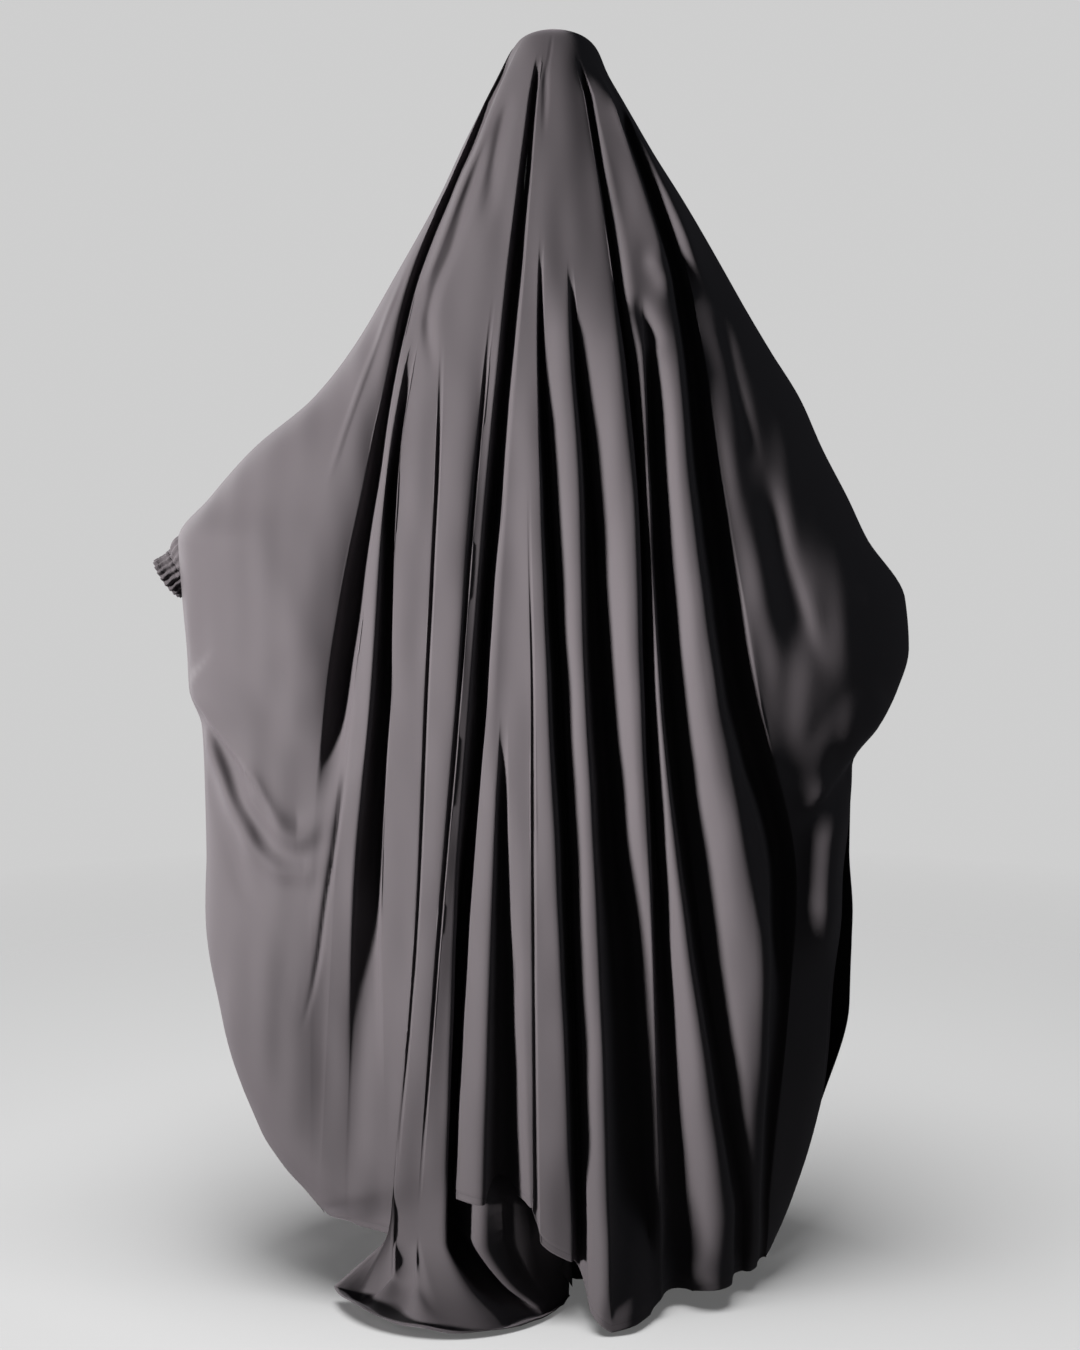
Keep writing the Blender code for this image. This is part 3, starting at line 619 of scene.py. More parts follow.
@dataclass(frozen=True)
class Overhang:
    """The lower edge of cloth that hangs over what lies below it, along a line in centimetres.

    The cloth stands out by height at the edge and fades above it over rise. Below the edge it
    drops back by depth within lip and comes out again over fall.
    """

    name: str
    line: tuple[Pair, ...]
    height: float
    rise: float
    depth: float
    lip: float
    fall: float
    fade_in: float = 0.2
    fade_out: float = 0.3

    def relief(self, x: Grid, drop: Grid) -> Grid:
        """How far the edge pushes the cloth out at x and drop, in metres.

        Args:
            x: places across.
            drop: their depths below the crown.

        Returns:
            The push at each place.
        """
        distance, share = along_line(x, drop, self.line)
        ends = ease(share, 0.0, self.fade_in) * (1.0 - ease(share, 1.0 - self.fade_out, 1.0))
        out = self.height * (1.0 - ease(distance, 0.0, self.rise * CM))
        back = -self.depth * (1.0 - ease(-distance, self.lip * CM, self.fall * CM))
        below = ease(-distance, 0.0, self.lip * CM)
        return CM * ends * np.where(distance > 0.0, out, out * (1.0 - below) + back * below)


# Creases, each given as a line of x and drop in centimetres, its height, its width and how it fades
LEFT_CREASES = (
    Overhang(
        "arm_edge",
        ((-52.4, 90.2), (-50, 92.4), (-46.9, 95.9), (-43.3, 99.8), (-40.6, 102.6), (-37.9, 106.6),
         (-36.4, 109)),
        1.8, 9, 0.5, 0.5, 3.5, 0.03, 0.4,
    ),
    Crease(
        "swag_1", ((-43.9, 99.7), (-41, 104.6), (-38.1, 107.8), (-35, 109.4), (-32.2, 107.6), (-30, 104)),
        2.2, 1.8, 0.3, 0.55,
    ),
    Crease(
        "swag_1_under", ((-48.6, 94.4), (-45.4, 100.4), (-42, 105.8), (-38.8, 110), (-34.8, 112)),
        -1.5, 1.5, 0.3, 0.5,
    ),
    Crease(
        "swag_2",
        ((-49.6, 94.2), (-46.9, 101.1), (-43.9, 107.2), (-40.5, 111.8), (-36.8, 114.2), (-34, 114.2),
         (-31.8, 111.8), (-30.4, 108.8)),
        1.8, 1.5, 0.12, 0.5,
    ),
    Crease("swag_2_under", ((-49, 98.7), (-47, 105.5), (-45, 112), (-43, 117), (-40, 121)), -0.8, 1.6),
    Crease(
        "main_line",
        ((-26.9, 87.6), (-28.4, 102), (-29.6, 110.7), (-30.8, 117.8), (-31.9, 125.6), (-33.4, 132.5),
         (-35.1, 137.2)),
        -0.45, 0.34, 0.1, 0.3,
    ),
    Crease(
        "main_line_lip", ((-27.9, 92), (-29.2, 102), (-30.5, 110.7), (-31.7, 117.8), (-32.9, 125.6)),
        0.3, 0.9,
    ),
    Crease(
        "taut_long", ((-8.1, 12), (-10.8, 18), (-13.3, 24), (-15.5, 30), (-18.3, 37)),
        0.5, 0.6, 0.2, 0.2,
    ),
    Crease(
        "taut_long_under", ((-8.6, 15), (-11.9, 24), (-13.7, 30), (-16.4, 37), (-17.4, 45)),
        -0.6, 0.75,
    ),
    Crease(
        "hood_fold", ((-5.6, 9), (-6.5, 12), (-7.8, 18), (-8.7, 24), (-10.5, 30)),
        -0.9, 0.9, 0.2, 0.5,
    ),
    Crease("pinch", ((-17.8, 36.5), (-16.8, 41), (-16, 48)), -0.4, 0.8, 0.4, 0.5),
    Crease("taut_arm", ((-19.5, 30.5), (-24, 42.1), (-28.1, 53.9), (-30.8, 62.3)), 0.35, 0.4),
    Crease("side_hollow", ((-24, 116), (-26, 132), (-29, 158)), -1.8, 9, 0.4, 0.2, 5),
    Crease("vent_flare", ((-48.5, 118), (-47, 132), (-42, 148), (-34, 166)), 4, 13, 0.4, 0.1),
    Crease(
        "broad_band", ((-10.8, 38), (-12.2, 65), (-13.2, 90), (-15.4, 120), (-18, 152)),
        1.1, 4.6, 0.25, 0.25, 1.9,
    ),
    Crease("elbow_sag", ((-46, 66), (-38, 76), (-33, 88)), 0.5, 4),
)
TRAIN_CREASES = (
    Crease("train_lift", ((-9, 150), (-9.4, 158), (-9.8, 167), (-10, 176)), 8.6, 2.6, 0.3, 0.05, 7),
    Crease(
        "train_ridge", ((-9.6, 150), (-10, 158), (-10.3, 167), (-10.5, 176)),
        1.4, 1.4, 0.3, 0.05, 1.4,
    ),
    Crease("train_slot", ((-7.2, 150), (-7.2, 158), (-7.1, 167), (-7, 176)), -1.6, 0.8, 0.3, 0.05),
    Crease("train_fall", ((-1.6, 154), (-1.2, 164), (-0.4, 176)), 1.6, 3.4, 0.3, 0.05, 3),
)
RIGHT_CREASES = (
    Overhang(
        "arm_edge", ((31.9, 107.8), (34.5, 105.8), (37, 104.2), (41, 100.8), (44.2, 96.6), (48.6, 93.4)),
        1.6, 8, 1.6, 1.8, 6, 0.35, 0.1,
    ),
    Crease("bump", ((12.4, 30.5), (15, 33.6), (15.9, 37.5)), 0.9, 1.3, 0.3, 0.4),
    Crease("pocket", ((10.6, 36.4), (12.2, 39.6), (14.2, 44)), -0.9, 1.2, 0.3, 0.3),
    Crease("tip_left", ((24.2, 70), (27, 90), (31, 106.5)), 0.5, 2),
    Crease("arm_line", ((22.5, 37), (25.4, 50), (27.8, 60)), -0.35, 0.9),
    Crease("arm_trough", ((28, 58), (31, 71.5), (33.6, 80), (36.8, 88)), -1.1, 2.8, 0.3, 0.3, 1.5),
    Crease("arm_swell", ((21, 44), (24.6, 60), (27.6, 74), (31.2, 90)), 0.7, 2.2, 0.3, 0.3),
    Crease(
        "head_band", ((6, 5.5), (7.4, 9), (8.8, 12), (10.8, 18), (13.1, 24), (14.9, 30), (16.2, 36)),
        1.5, 2.6, 0.15, 0.3, 0.8,
    ),
    Crease(
        "hood_rim", ((9.2, 8), (10.7, 12), (13.6, 18), (16.2, 24), (18.8, 30), (22, 38)),
        3.4, 1.9, 0.1, 0.35, 1.6,
    ),
    Crease("crown_streak", ((-0.9, 5), (-1.1, 10), (-1.3, 16)), -0.22, 0.4, 0.3, 0.6),
    Crease("seam_dip", ((0, 0.5), (-0.6, 5), (-1.6, 10)), -0.08, 0.25),
    Crease(
        "centre_band", ((-2.4, 34), (-1.8, 63), (-0.9, 90), (0.4, 117), (1.6, 140), (2.4, 160)),
        1.3, 3.4, 0.2, 0.1, 1,
    ),
    Crease("hip_band", ((22.4, 92), (27, 116), (30.2, 131), (29.6, 146)), 1.7, 5, 0.3, 0.3, 1.2),
    Crease("side_patch", ((40.4, 101), (39.4, 109), (38.4, 118), (37.2, 131)), 4.6, 4.2, 0.3, 0.4, 2.4),
    Crease("sunk_pleat", ((10.8, 104), (12.2, 128), (13.4, 150), (14.2, 172)), -3, 2, 0.4, 0.1),
    Crease("hem_turn", ((17, 166), (22, 169), (28, 171)), 1.2, 2.5),
)

# Both back panels carry both sets, so that they agree along the centre-back seam
BACK_CREASES = LEFT_CREASES + RIGHT_CREASES

FRONT_CREASES = (
    Crease(
        "front_drape_left", ((-7, 40), (-11.5, 80), (-15.5, 120), (-18, 166)),
        1.5, 3.4, 0.3, 0.1, 1.8,
    ),
    Crease("front_drape_right", ((5, 34), (8.5, 75), (10, 120), (9.5, 166)), 1.2, 2.2, 0.3, 0.1, 3.6),
    Crease("front_hollow", ((-2, 55), (-1.2, 95), (1.2, 140)), -1.1, 3.2, 0.4, 0.4),
    Crease("front_hip", ((20, 84), (24, 110), (25, 140)), 1.2, 4.4, 0.4, 0.4, 2.4),
    Crease("chin_swag", ((-7, 27), (-3, 31.5), (1, 32.5), (5, 30), (8, 26)), 0.8, 1.2),
    Crease("chin_under", ((-6, 30.5), (-1.5, 35), (2.5, 35), (7, 30)), -0.6, 1.2),
    Crease("chest_swag", ((-13, 38), (-6, 46.5), (2, 48), (9, 44.5), (14, 37)), 0.7, 1.6),
    Crease("left_swag", ((-50, 92), (-44, 104), (-37, 110), (-30, 104)), 1.3, 1.8),
    Crease("left_swag_under", ((-48, 97), (-42, 109), (-36.5, 114), (-31, 109)), -0.9, 1.6),
    Crease("right_swag", ((46, 94), (40, 104), (34, 108), (28, 101)), 1.3, 1.8),
    Crease("right_swag_under", ((44, 99), (38.5, 109), (33.5, 112.5), (29, 107)), -0.9, 1.6),
    Crease("arm_line_left", ((-18, 32), (-27, 52), (-37, 66)), 0.35, 0.6),
    Crease("arm_line_right", ((17, 30), (26, 50), (34, 68)), 0.35, 0.6),
)


@dataclass(frozen=True)
class Undulation:
    """The small unevenness of hanging cloth: a seeded sum of long soft waves."""

    seed: int
    waves: int = 26
    height: float = 0.00055
    across: Pair = (0.035, 0.16)
    down: Pair = (0.12, 0.70)

    def relief(self, x: Grid, drop: Grid) -> Grid:
        """How far the waves push the cloth out at x and drop, in metres.

        Args:
            x: places across.
            drop: their depths below the crown.

        Returns:
            The push at each place.
        """
        chance = np.random.default_rng(self.seed)
        total = np.zeros_like(x)
        for _ in range(self.waves):
            per_x = math.tau / chance.uniform(*self.across)
            per_drop = math.tau / chance.uniform(*self.down) * chance.choice((-1.0, 1.0))
            total += np.sin(per_x * x + per_drop * drop + chance.uniform(0.0, math.tau))
        return self.height * total / math.sqrt(self.waves / 2.0)


def grid_normals(points: Grid) -> Grid:
    """Unit normals of a grid of points, from the runs of its rows and columns.

    Args:
        points: rows by columns of points.

    Returns:
        A normal for each point.
    """
    across = np.gradient(points, axis=1)
    down = np.gradient(points, axis=0)
    normals = np.cross(across, down)
    length = np.linalg.norm(normals, axis=-1, keepdims=True)
    return np.where(length > TINY, normals / np.maximum(length, TINY), (0.0, 0.0, 1.0))


def run_lengths(points: Grid, axis: int) -> Grid:
    """The length run along one axis of a grid of points, 0 at its start.

    Args:
        points: rows by columns of points.
        axis: 0 down the columns, 1 along the rows.

    Returns:
        The length at each point.
    """
    steps = np.linalg.norm(np.diff(points, axis=axis), axis=-1)
    start = np.zeros_like(steps[:1] if axis == 0 else steps[:, :1])
    return np.cumsum(np.concatenate((start, steps), axis=axis), axis=axis)


class Sheet:
    """A grid of cloth that becomes one thin-walled mesh."""

    def __init__(self, name: str, points: Grid, outward: bool) -> None:
        """Keep the grid.

        Args:
            name: the piece's name.
            points: rows by columns of points.
            outward: True if rows running down and columns to the right face the grid outwards.
        """
        self.name = name
        self.points = points
        self.turned = not outward

    def normals(self) -> Grid:
        """The outward unit normals of the grid."""
        sign = 1.0 if self.turned else -1.0
        return sign * grid_normals(self.points)

    def push(self, relief: Grid) -> None:
        """Move every point out along its normal by its relief."""
        self.points = self.points + self.normals() * relief[..., None]

    def mesh(self) -> bpy.types.Mesh:
        """The grid as a mesh, with a map of its real lengths and one of its distance to the hem.

        Returns:
            The open sheet's mesh.
        """
        rows, columns, _ = self.points.shape
        mesh = bpy.data.meshes.new(self.name)
        sheet = bmesh.new()
        bmesh.ops.create_grid(sheet, x_segments=columns - 1, y_segments=rows - 1, size=1.0)
        sheet.verts.ensure_lookup_table()
        cut = sheet.loops.layers.uv.new("cut")
        hem = sheet.loops.layers.uv.new("hem")
        across = run_lengths(self.points, 1)
        down = run_lengths(self.points, 0)
        across = across - across[:, columns // 2][:, None]
        to_hem = down[-1] - down
        flat_across, flat_down, flat_hem = across.ravel(), down.ravel(), to_hem.ravel()
        for vertex, point in zip(sheet.verts, self.points.reshape(-1, 3)):
            vertex.co = Vector(point)
        for face in sheet.faces:
            for loop in face.loops:
                index = loop.vert.index
                loop[cut].uv = (flat_across[index], -flat_down[index])
                loop[hem].uv = (flat_across[index], flat_hem[index])
        bmesh.ops.remove_doubles(sheet, verts=sheet.verts, dist=MERGE)
        if self.turned:
            bmesh.ops.reverse_faces(sheet, faces=sheet.faces)
        sheet.to_mesh(mesh)
        sheet.free()
        mesh.shade_smooth()
        return mesh

    def make(self, thickness: float = CLOTH, holes: Sequence["Hole"] = ()) -> bpy.types.Object:
        """Build the finished piece.

        Args:
            thickness: how thick the cloth is.
            holes: the openings to cut before the cloth gets its thickness.

        Returns:
            The piece, with its wall applied.
        """
        obj = bpy.data.objects.new(self.name, self.mesh())
        bpy.context.scene.collection.objects.link(obj)
        for hole in holes:
            hole.cut(obj.data)
        wall = obj.modifiers.new("wall", "SOLIDIFY")
        wall.thickness = thickness
        wall.offset = -1.0
        apply_modifiers(obj)
        return obj


def apply_modifiers(obj: bpy.types.Object) -> None:
    """Apply every modifier of an object, in order.

    Args:
        obj: the object.
    """
    bpy.ops.object.select_all(action="DESELECT")
    bpy.context.view_layer.objects.active = obj
    obj.select_set(True)
    for modifier in list(obj.modifiers):
        bpy.ops.object.modifier_apply(modifier=modifier.name)
    obj.select_set(False)


class TubePlace(NamedTuple):
    """Where a sleeve end starts inside the cape, in centimetres, and which way it runs."""

    x: float
    y: float
    drop: float
    way: Triple


class TubeRing(NamedTuple):
    """One ring of a tube: its distance from the tube's start and its radius, in centimetres."""

    along: float
    radius: float


LEFT_WRIST = TubePlace(-45.8, 4.4, 69.4, (-0.820, 0.060, -0.570))
RIGHT_WRIST = TubePlace(42.3, 5.1, 78.9, (0.350, 0.550, -0.760))
SLEEVE_RINGS = (
    TubeRing(0.0, 3.5),
    TubeRing(3.6, 4.0),
    TubeRing(7.0, 4.0),
    TubeRing(8.2, 3.6),
    TubeRing(8.7, 3.1),
    TubeRing(8.9, 3.1),
)
CUFF_RINGS = (
    TubeRing(8.93, 3.05),
    TubeRing(9.2, 3.05),
    TubeRing(10.2, 2.95),
    TubeRing(11.2, 3.05),
    TubeRing(11.7, 3.05),
)


def tube_axes(place: TubePlace) -> tuple[Vector, Vector, Vector, Vector]:
    """A tube's start, its way, and the two directions across it.

    Args:
        place: where the tube stands.

    Returns:
        The start and the three directions.
    """
    start = Vector((place.x * CM, place.y * CM, WALL - place.drop * CM))
    way = Vector(place.way).normalized()
    across = way.cross(Vector((0.0, 1.0, 0.0))).normalized()
    return start, way, across, way.cross(across)


class Hole:
    """An opening in a sheet: cloth inside it goes, and the cut edge is drawn onto its outline."""

    reach = 0.016
    refine = 2
    finest = 0.0022

    def signed(self, point: Vector) -> float:
        """Distance outside the opening, below 0 inside it, and large far away."""
        raise NotImplementedError

    def onto(self, point: Vector) -> Vector:
        """The nearest place on the opening's outline."""
        raise NotImplementedError

    def cut(self, mesh: bpy.types.Mesh) -> None:
        """Cut the opening in an open sheet.

        Args:
            mesh: the sheet's mesh, changed in place.
        """
        sheet = bmesh.new()
        sheet.from_mesh(mesh)
        for _ in range(self.refine):
            near = {vertex for vertex in sheet.verts if abs(self.signed(vertex.co)) < self.reach}
            edges = [edge for edge in sheet.edges if edge.verts[0] in near and edge.verts[1] in near]
            edges = [edge for edge in edges if edge.calc_length() > self.finest]
            if edges:
                bmesh.ops.subdivide_edges(sheet, edges=edges, cuts=1, use_grid_fill=True)
        inside = [face for face in sheet.faces if self.signed(face.calc_center_median()) < 0.0]
        rim = {vertex for face in inside for vertex in face.verts}
        bmesh.ops.delete(sheet, geom=inside, context="FACES")
        for vertex in rim:
            if vertex.is_valid and vertex.is_boundary:
                vertex.co = self.onto(vertex.co)
        sheet.to_mesh(mesh)
        sheet.free()
        mesh.shade_smooth()


@dataclass
class SleeveHole(Hole):
    """The opening round a sleeve end."""

    place: TubePlace
    gap: float = 0.0012

    def frame_of(self, point: Vector) -> tuple[Vector, Vector, float]:
        """The foot of a point on the tube's axis, its way out and the opening's radius there.

        Args:
            point: a place on the sheet.

        Returns:
            The foot, the way out to the point, and the radius, -1 behind the tube's start.
        """
        start, way, _, _ = tube_axes(self.place)
        along = (point - start).dot(way)
        foot = start + along * way
        rings = SLEEVE_RINGS + CUFF_RINGS
        radius = float(np.interp(along / CM, [r.along for r in rings], [r.radius for r in rings])) * CM
        return foot, point - foot, (radius + self.gap if along > 0.0 else -1.0)

    def signed(self, point: Vector) -> float:
        """Distance outside the sleeve."""
        _, out, radius = self.frame_of(point)
        return out.length - radius

    def onto(self, point: Vector) -> Vector:
        """The nearest place on the sleeve."""
        foot, out, radius = self.frame_of(point)
        return foot + out.normalized() * radius


@dataclass
class FaceHole(Hole):
    """The oval opening for the face."""

    drop: float = 0.147
    half_width: float = 0.064
    half_height: float = 0.090

    def polar(self, point: Vector) -> Pair:
        """A point's distance from the oval's centre and the oval's reach that way.

        Args:
            point: a place on the sheet.

        Returns:
            The distance and the reach.
        """
        across, up = point.x, point.z - (WALL - self.drop)
        angle = math.atan2(up / self.half_height, across / self.half_width)
        reach = math.hypot(self.half_width * math.cos(angle), self.half_height * math.sin(angle))
        return math.hypot(across, up), reach

    def signed(self, point: Vector) -> float:
        """Distance outside the oval."""
        distance, reach = self.polar(point)
        return distance - reach

    def onto(self, point: Vector) -> Vector:
        """The nearest place on the oval.

        Args:
            point: a place on the sheet.

        Returns:
            The place on the oval.
        """
        distance, reach = self.polar(point)
        scale = reach / max(distance, MERGE)
        up = point.z - (WALL - self.drop)
        return Vector((point.x * scale, point.y, WALL - self.drop + up * scale))


@dataclass
class CapePanel:
    """One panel of the cape, between two seams."""

    name: str
    node: str
    side: Side
    stations: list[Station]
    creases: Sequence[Crease | Overhang]
    flat: Pair
    area: float
    undulation: Undulation
    free_edges: tuple[int, ...] = ()
    holes: Sequence[Hole] = ()
    train: Train = field(default_factory=Train)
    crown_end: float = 0.055
    crown_rows: int = 20
    level_end: float = 1.31
    level_rows: int = 148
    tail_rows: int = 46
    hem_rows: int = 9
    hem_share: float = 0.055
    edge_fade: float = 0.015
    vent_share: float = 0.8
    vent_run: float = 0.16
    calm_crown: float = 0.05
    calm_hem: Pair = (0.12, 0.02)

    def rows(self) -> tuple[Grid, Grid]:
        """The level rows' drops, and the shares of the way down from the last of them.

        Returns:
            The drops and the shares.
        """
        crown = self.crown_end * np.linspace(0.0, 1.0, self.crown_rows) ** 2
        level = np.linspace(self.crown_end, self.level_end, self.level_rows)[1:]
        tail = np.linspace(0.0, 1.0 - self.hem_share, self.tail_rows)[1:]
        hem = np.linspace(1.0 - self.hem_share, 1.0, self.hem_rows)[1:]
        return np.concatenate((crown, level)), np.concatenate((tail, hem))

    def points(self) -> tuple[Grid, Grid, Grid]:
        """The panel's points, before its fine relief.

        Returns:
            The points, and each one's x and drop as hung, which the creases are placed by.
        """
        level, below = self.rows()
        tail = np.concatenate((np.zeros(len(level)), below))
        pooled = [index for index, station in enumerate(self.stations) if station.on_floor]
        lines = []
        for index, station in enumerate(self.stations):
            rim = (index - pooled[0]) / (len(pooled) - 1) if station.on_floor else None
            lines.append(self.line(station, level, tail, rim))
        points, xs, drops = (np.stack(parts, axis=1) for parts in zip(*lines))
        return points, xs, drops

    def line(self, station: Station, level: Grid, tail: Grid, rim: float | None) -> tuple[Grid, Grid, Grid]:
        """One station's points, from the crown to its end.

        Args:
            station: the station.
            level: the level rows' drops.
            tail: each row's share of the way down from the last of them.
            rim: where it ends along the train's rim, 0 to 1, or None where it hangs clear.

        Returns:
            The points, and each one's x and drop as hung.
        """
        sign = self.side.value
        hem_drop = CROWN_TO_FLOOR - FLOOR_GAP - station.hem * CM
        end = CROWN_TO_FLOOR - self.train.landing if station.on_floor else hem_drop
        fall = np.minimum(tail / self.train.fall_share, 1.0) if station.on_floor else tail
        hung_drop = np.concatenate((level, level[-1] + (end - level[-1]) * fall[len(level):]))
        hung_x, depth = station.place(hung_drop)
        x, drop = hung_x, hung_drop
        y = envelope(x, drop, self.side) - sign * depth
        if self.side is Side.BACK:
            y = y - lobe_relief(x, drop)
        y = y + sign * self.edge_share(x, drop) * self.crease_relief(x, drop)
        if station.on_floor:
            x, y, drop = self.train.lay(x, y, drop, tail, rim)
        opened = ease(drop, SIDE_SEAM_END, SIDE_SEAM_END + SIDE_PARTING_RUN)
        parting = SEAM_GAP / 2.0 + SIDE_PARTING * opened
        seam = outline("side", drop)
        y = np.minimum(y, seam - parting) if sign < 0.0 else np.maximum(y, seam + parting)
        return np.stack((x, y, WALL - drop), axis=-1), hung_x, hung_drop

    def edge_share(self, x: Grid, drop: Grid) -> Grid:
        """How much of a relief is left near the cape's side lines.

        Args:
            x: places across.
            drop: their depths below the crown.

        Returns:
            The share left at each place.
        """
        inside = np.minimum(x - outline("left", drop), outline("right", drop) - x)
        held = ease(inside, 0.0, self.edge_fade)
        if self.side is Side.FRONT:
            return held
        return np.maximum(held, self.vent_share * ease(drop, SIDE_SEAM_END, SIDE_SEAM_END + self.vent_run))

    def crease_relief(self, x: Grid, drop: Grid) -> Grid:
        """The creases' relief along one station."""
        return sum(crease.relief(x, drop) for crease in self.creases)

    def fine_relief(self, sheet: Sheet, x: Grid, drop: Grid) -> Grid:
        """The undulation, the turned hems and the seam's edges, out along the cloth's normals.

        Args:
            sheet: the sheet before it.
            x: its points' places across, as hung.
            drop: their depths below the crown.

        Returns:
            How far each point moves out.
        """
        down = run_lengths(sheet.points, 0)
        across = run_lengths(sheet.points, 1)
        start, end = (CROWN_TO_FLOOR - above for above in self.calm_hem)
        calm = ease(drop, 0.0, self.calm_crown) * (1.0 - ease(drop, start, end))
        relief = self.undulation.relief(x, drop) * calm * self.edge_share(x, drop)
        edges = {0: across, -1: across[:, -1:] - across}
        to_hem = down[-1] - down
        turned = 1.0 - ease(to_hem, HEM_DEPTH, HEM_DEPTH + HEM_STEP)
        below_seam = ease(drop, SIDE_SEAM_END, SIDE_SEAM_END + SIDE_PARTING_RUN)
        for edge in self.free_edges:
            side_turn = (1.0 - ease(edges[edge], EDGE_TURN, EDGE_TURN + HEM_STEP)) * below_seam
            turned = np.maximum(turned, side_turn)
        return relief + HEM_RAISED * turned

    def build(self, finish: "Crepe") -> bpy.types.Object:
        """Build, dress and place the panel.

        Args:
            finish: the cloth's finish.

        Returns:
            The finished piece.
        """
        points, x, drop = self.points()
        sheet = Sheet(self.name, points, outward=self.side is Side.FRONT)
        sheet.push(self.fine_relief(sheet, x, drop))
        piece = sheet.make(holes=self.holes)
        settle(piece, finish, self.node)
        return piece


def lobe_relief(x: Grid, drop: Grid) -> Grid:
    """How far the hem's lobe reaches out along the floor."""
    bell = np.exp(-(((x - LOBE_PLACE) / LOBE_WIDTH) ** 4))
    return LOBE_REACH * bell * ease(drop, LOBE_START, CROWN_TO_FLOOR)


def dress(piece: bpy.types.Object, finish: "Finish") -> None:
    """Give a piece its finish."""
    piece.data.materials.clear()
    piece.data.materials.append(finish.material())


def settle(piece: bpy.types.Object, finish: "Finish", node: str) -> None:
    """Dress a piece, put it in place of its solid and report it.

    Args:
        piece: the finished piece.
        finish: its finish.
        node: the solid that it stands for.
    """
    dress(piece, finish)
    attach(piece, "root")
    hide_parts(node)
    log.info("%s: %d faces", piece.name, len(piece.data.polygons))


@dataclass
class PanelCutter:
    """Lays out the stations of the cape's panels.

    under_run and over_run say how far along the tuck's run the cloth under and over it lies, and
    over_hems its hem's height in centimetres, each by its place across the open centre fold.
    """

    profile: Profile = Profile()
    side_count: int = 64
    side_bunching: float = 0.45
    side_first: float = 0.0015
    valley_count: int = 12
    thin_count: int = 7
    pleat_count: int = 9
    wide_pleat_count: int = 14
    thin_calm: float = 0.30
    tuck_at: float = 0.42
    tuck_start: float = 0.78
    tuck_full: float = 1.12
    tuck_run: float = 0.16
    tuck_turn: float = 0.014
    tuck_edge: float = 0.45
    tuck_count: int = 14
    seam_raise: float = 0.06
    late_raise: Triple = (0.1, 0.3, 0.45)
    hem_step_curve: float = 0.6
    wide_pleat: float = 5.5
    under_run: Pairs = (
        (-0.45, -0.25), (-0.38, -0.12), (-0.28, 0.10), (-0.18, 0.40), (-0.08, 0.75), (0.0, 1.0),
    )
    over_run: Pairs = ((0.0, 1.0), (0.08, 0.92), (0.18, 0.60), (0.28, 0.30), (0.38, 0.03), (0.45, -0.05))
    over_hems: Pairs = ((0.0, 2.0), (0.08, 4.0), (0.18, 8.0), (0.28, 12.0), (0.38, 15.5), (0.45, 15.5))

    def across_fold(self, fold: Fold, share: float) -> Station:
        """A station inside a fold.

        Args:
            fold: the fold.
            share: its place across it, -0.5 to 0.5.

        Returns:
            The station.
        """
        deep = self.profile.valley(share, fold)

        def place(drop: Grid) -> tuple[Grid, Grid]:
            """The station's x and depth at each drop."""
            x = fold.place(drop) + share * fold.width(drop)
            return x, deep * fold.depth(drop)

        left, right = fold.hems
        return Station(place, left + (right - left) * (share + 0.5))

    def on_pleat(self, fold: Fold, following: Fold, share: float) -> Station:
        """A station on the pleat between two folds.

        Args:
            fold: the fold before the pleat.
            following: the fold after it.
            share: how far over the pleat, 0 to 1.

        Returns:
            The station.
        """
        start_line, end_line = fold.lip(0.5), following.lip(-0.5)
        ramp = fold.ramp * self.profile.ramp(share)
        roll = following.roll * self.profile.roll(share, self.profile.roll_start)
        calm = self.thin_calm if {fold.name, following.name} & THIN_FOLDS else 1.0
        round_share = calm * self.profile.crest(share)

        def place(drop: Grid) -> tuple[Grid, Grid]:
            """The station's x and depth at each drop.

            Args:
                drop: depths below the crown.

            Returns:
                The x and the depth.
            """
            start, end = start_line(drop), end_line(drop)
            before, after = fold.depth(drop), following.depth(drop)
            crest = np.minimum(self.profile.crest_of_width * (end - start), self.profile.crest_most)
            crest = np.minimum(crest, self.profile.crest_of_depth * np.minimum(before, after))
            depth = ramp * before + roll * after - crest * round_share
            return start + share * (end - start), depth

        start_hem, end_hem = fold.hems[1], following.hems[0]
        step = 0.0 if end_hem == 0.0 else end_hem - start_hem
        return Station(place, start_hem + step * share**self.hem_step_curve)

    def on_side(self, edge: Edge, on_back: bool, fold: Fold, share: float, edge_hem: float) -> Station:
        """A station between the sheet's side edge and its nearest fold.

        Args:
            edge: the side edge.
            on_back: True for a back panel.
            fold: the nearest fold.
            share: how far the station is from the edge, 0 to 1.
            edge_hem: the hem's height at the edge in centimetres.

        Returns:
            The station.
        """
        edge_line, lip_line = edge.line(on_back), fold.lip(-0.5 * edge.value)
        if edge is Edge.LEFT:
            fold_hem = fold.hems[0]
            recess = fold.roll * self.profile.roll(share, self.profile.side_roll_start)
        else:
            fold_hem = fold.hems[1]
            recess = fold.ramp * self.profile.ramp(1.0 - share)

        def place(drop: Grid) -> tuple[Grid, Grid]:
            """The station's x and depth at each drop."""
            start, end = edge_line(drop), lip_line(drop)
            return start + share * (end - start), recess * fold.depth(drop)

        return Station(place, edge_hem + (fold_hem - edge_hem) * share)

    def in_tuck(self, share_open: float, share_run: float, raised: float, hem: float) -> Station:
        """A station in the centre fold, which tucks under the pleat on its right lower down.

        Args:
            share_open: its place across the open fold, -0.5 to 0.5.
            share_run: its place along the tuck's run.
            raised: its height off the under layer, in turns of the cloth.
            hem: its hem's height above the floor in centimetres.

        Returns:
            The station.
        """
        deep = self.profile.valley(share_open, CENTRE_FOLD)

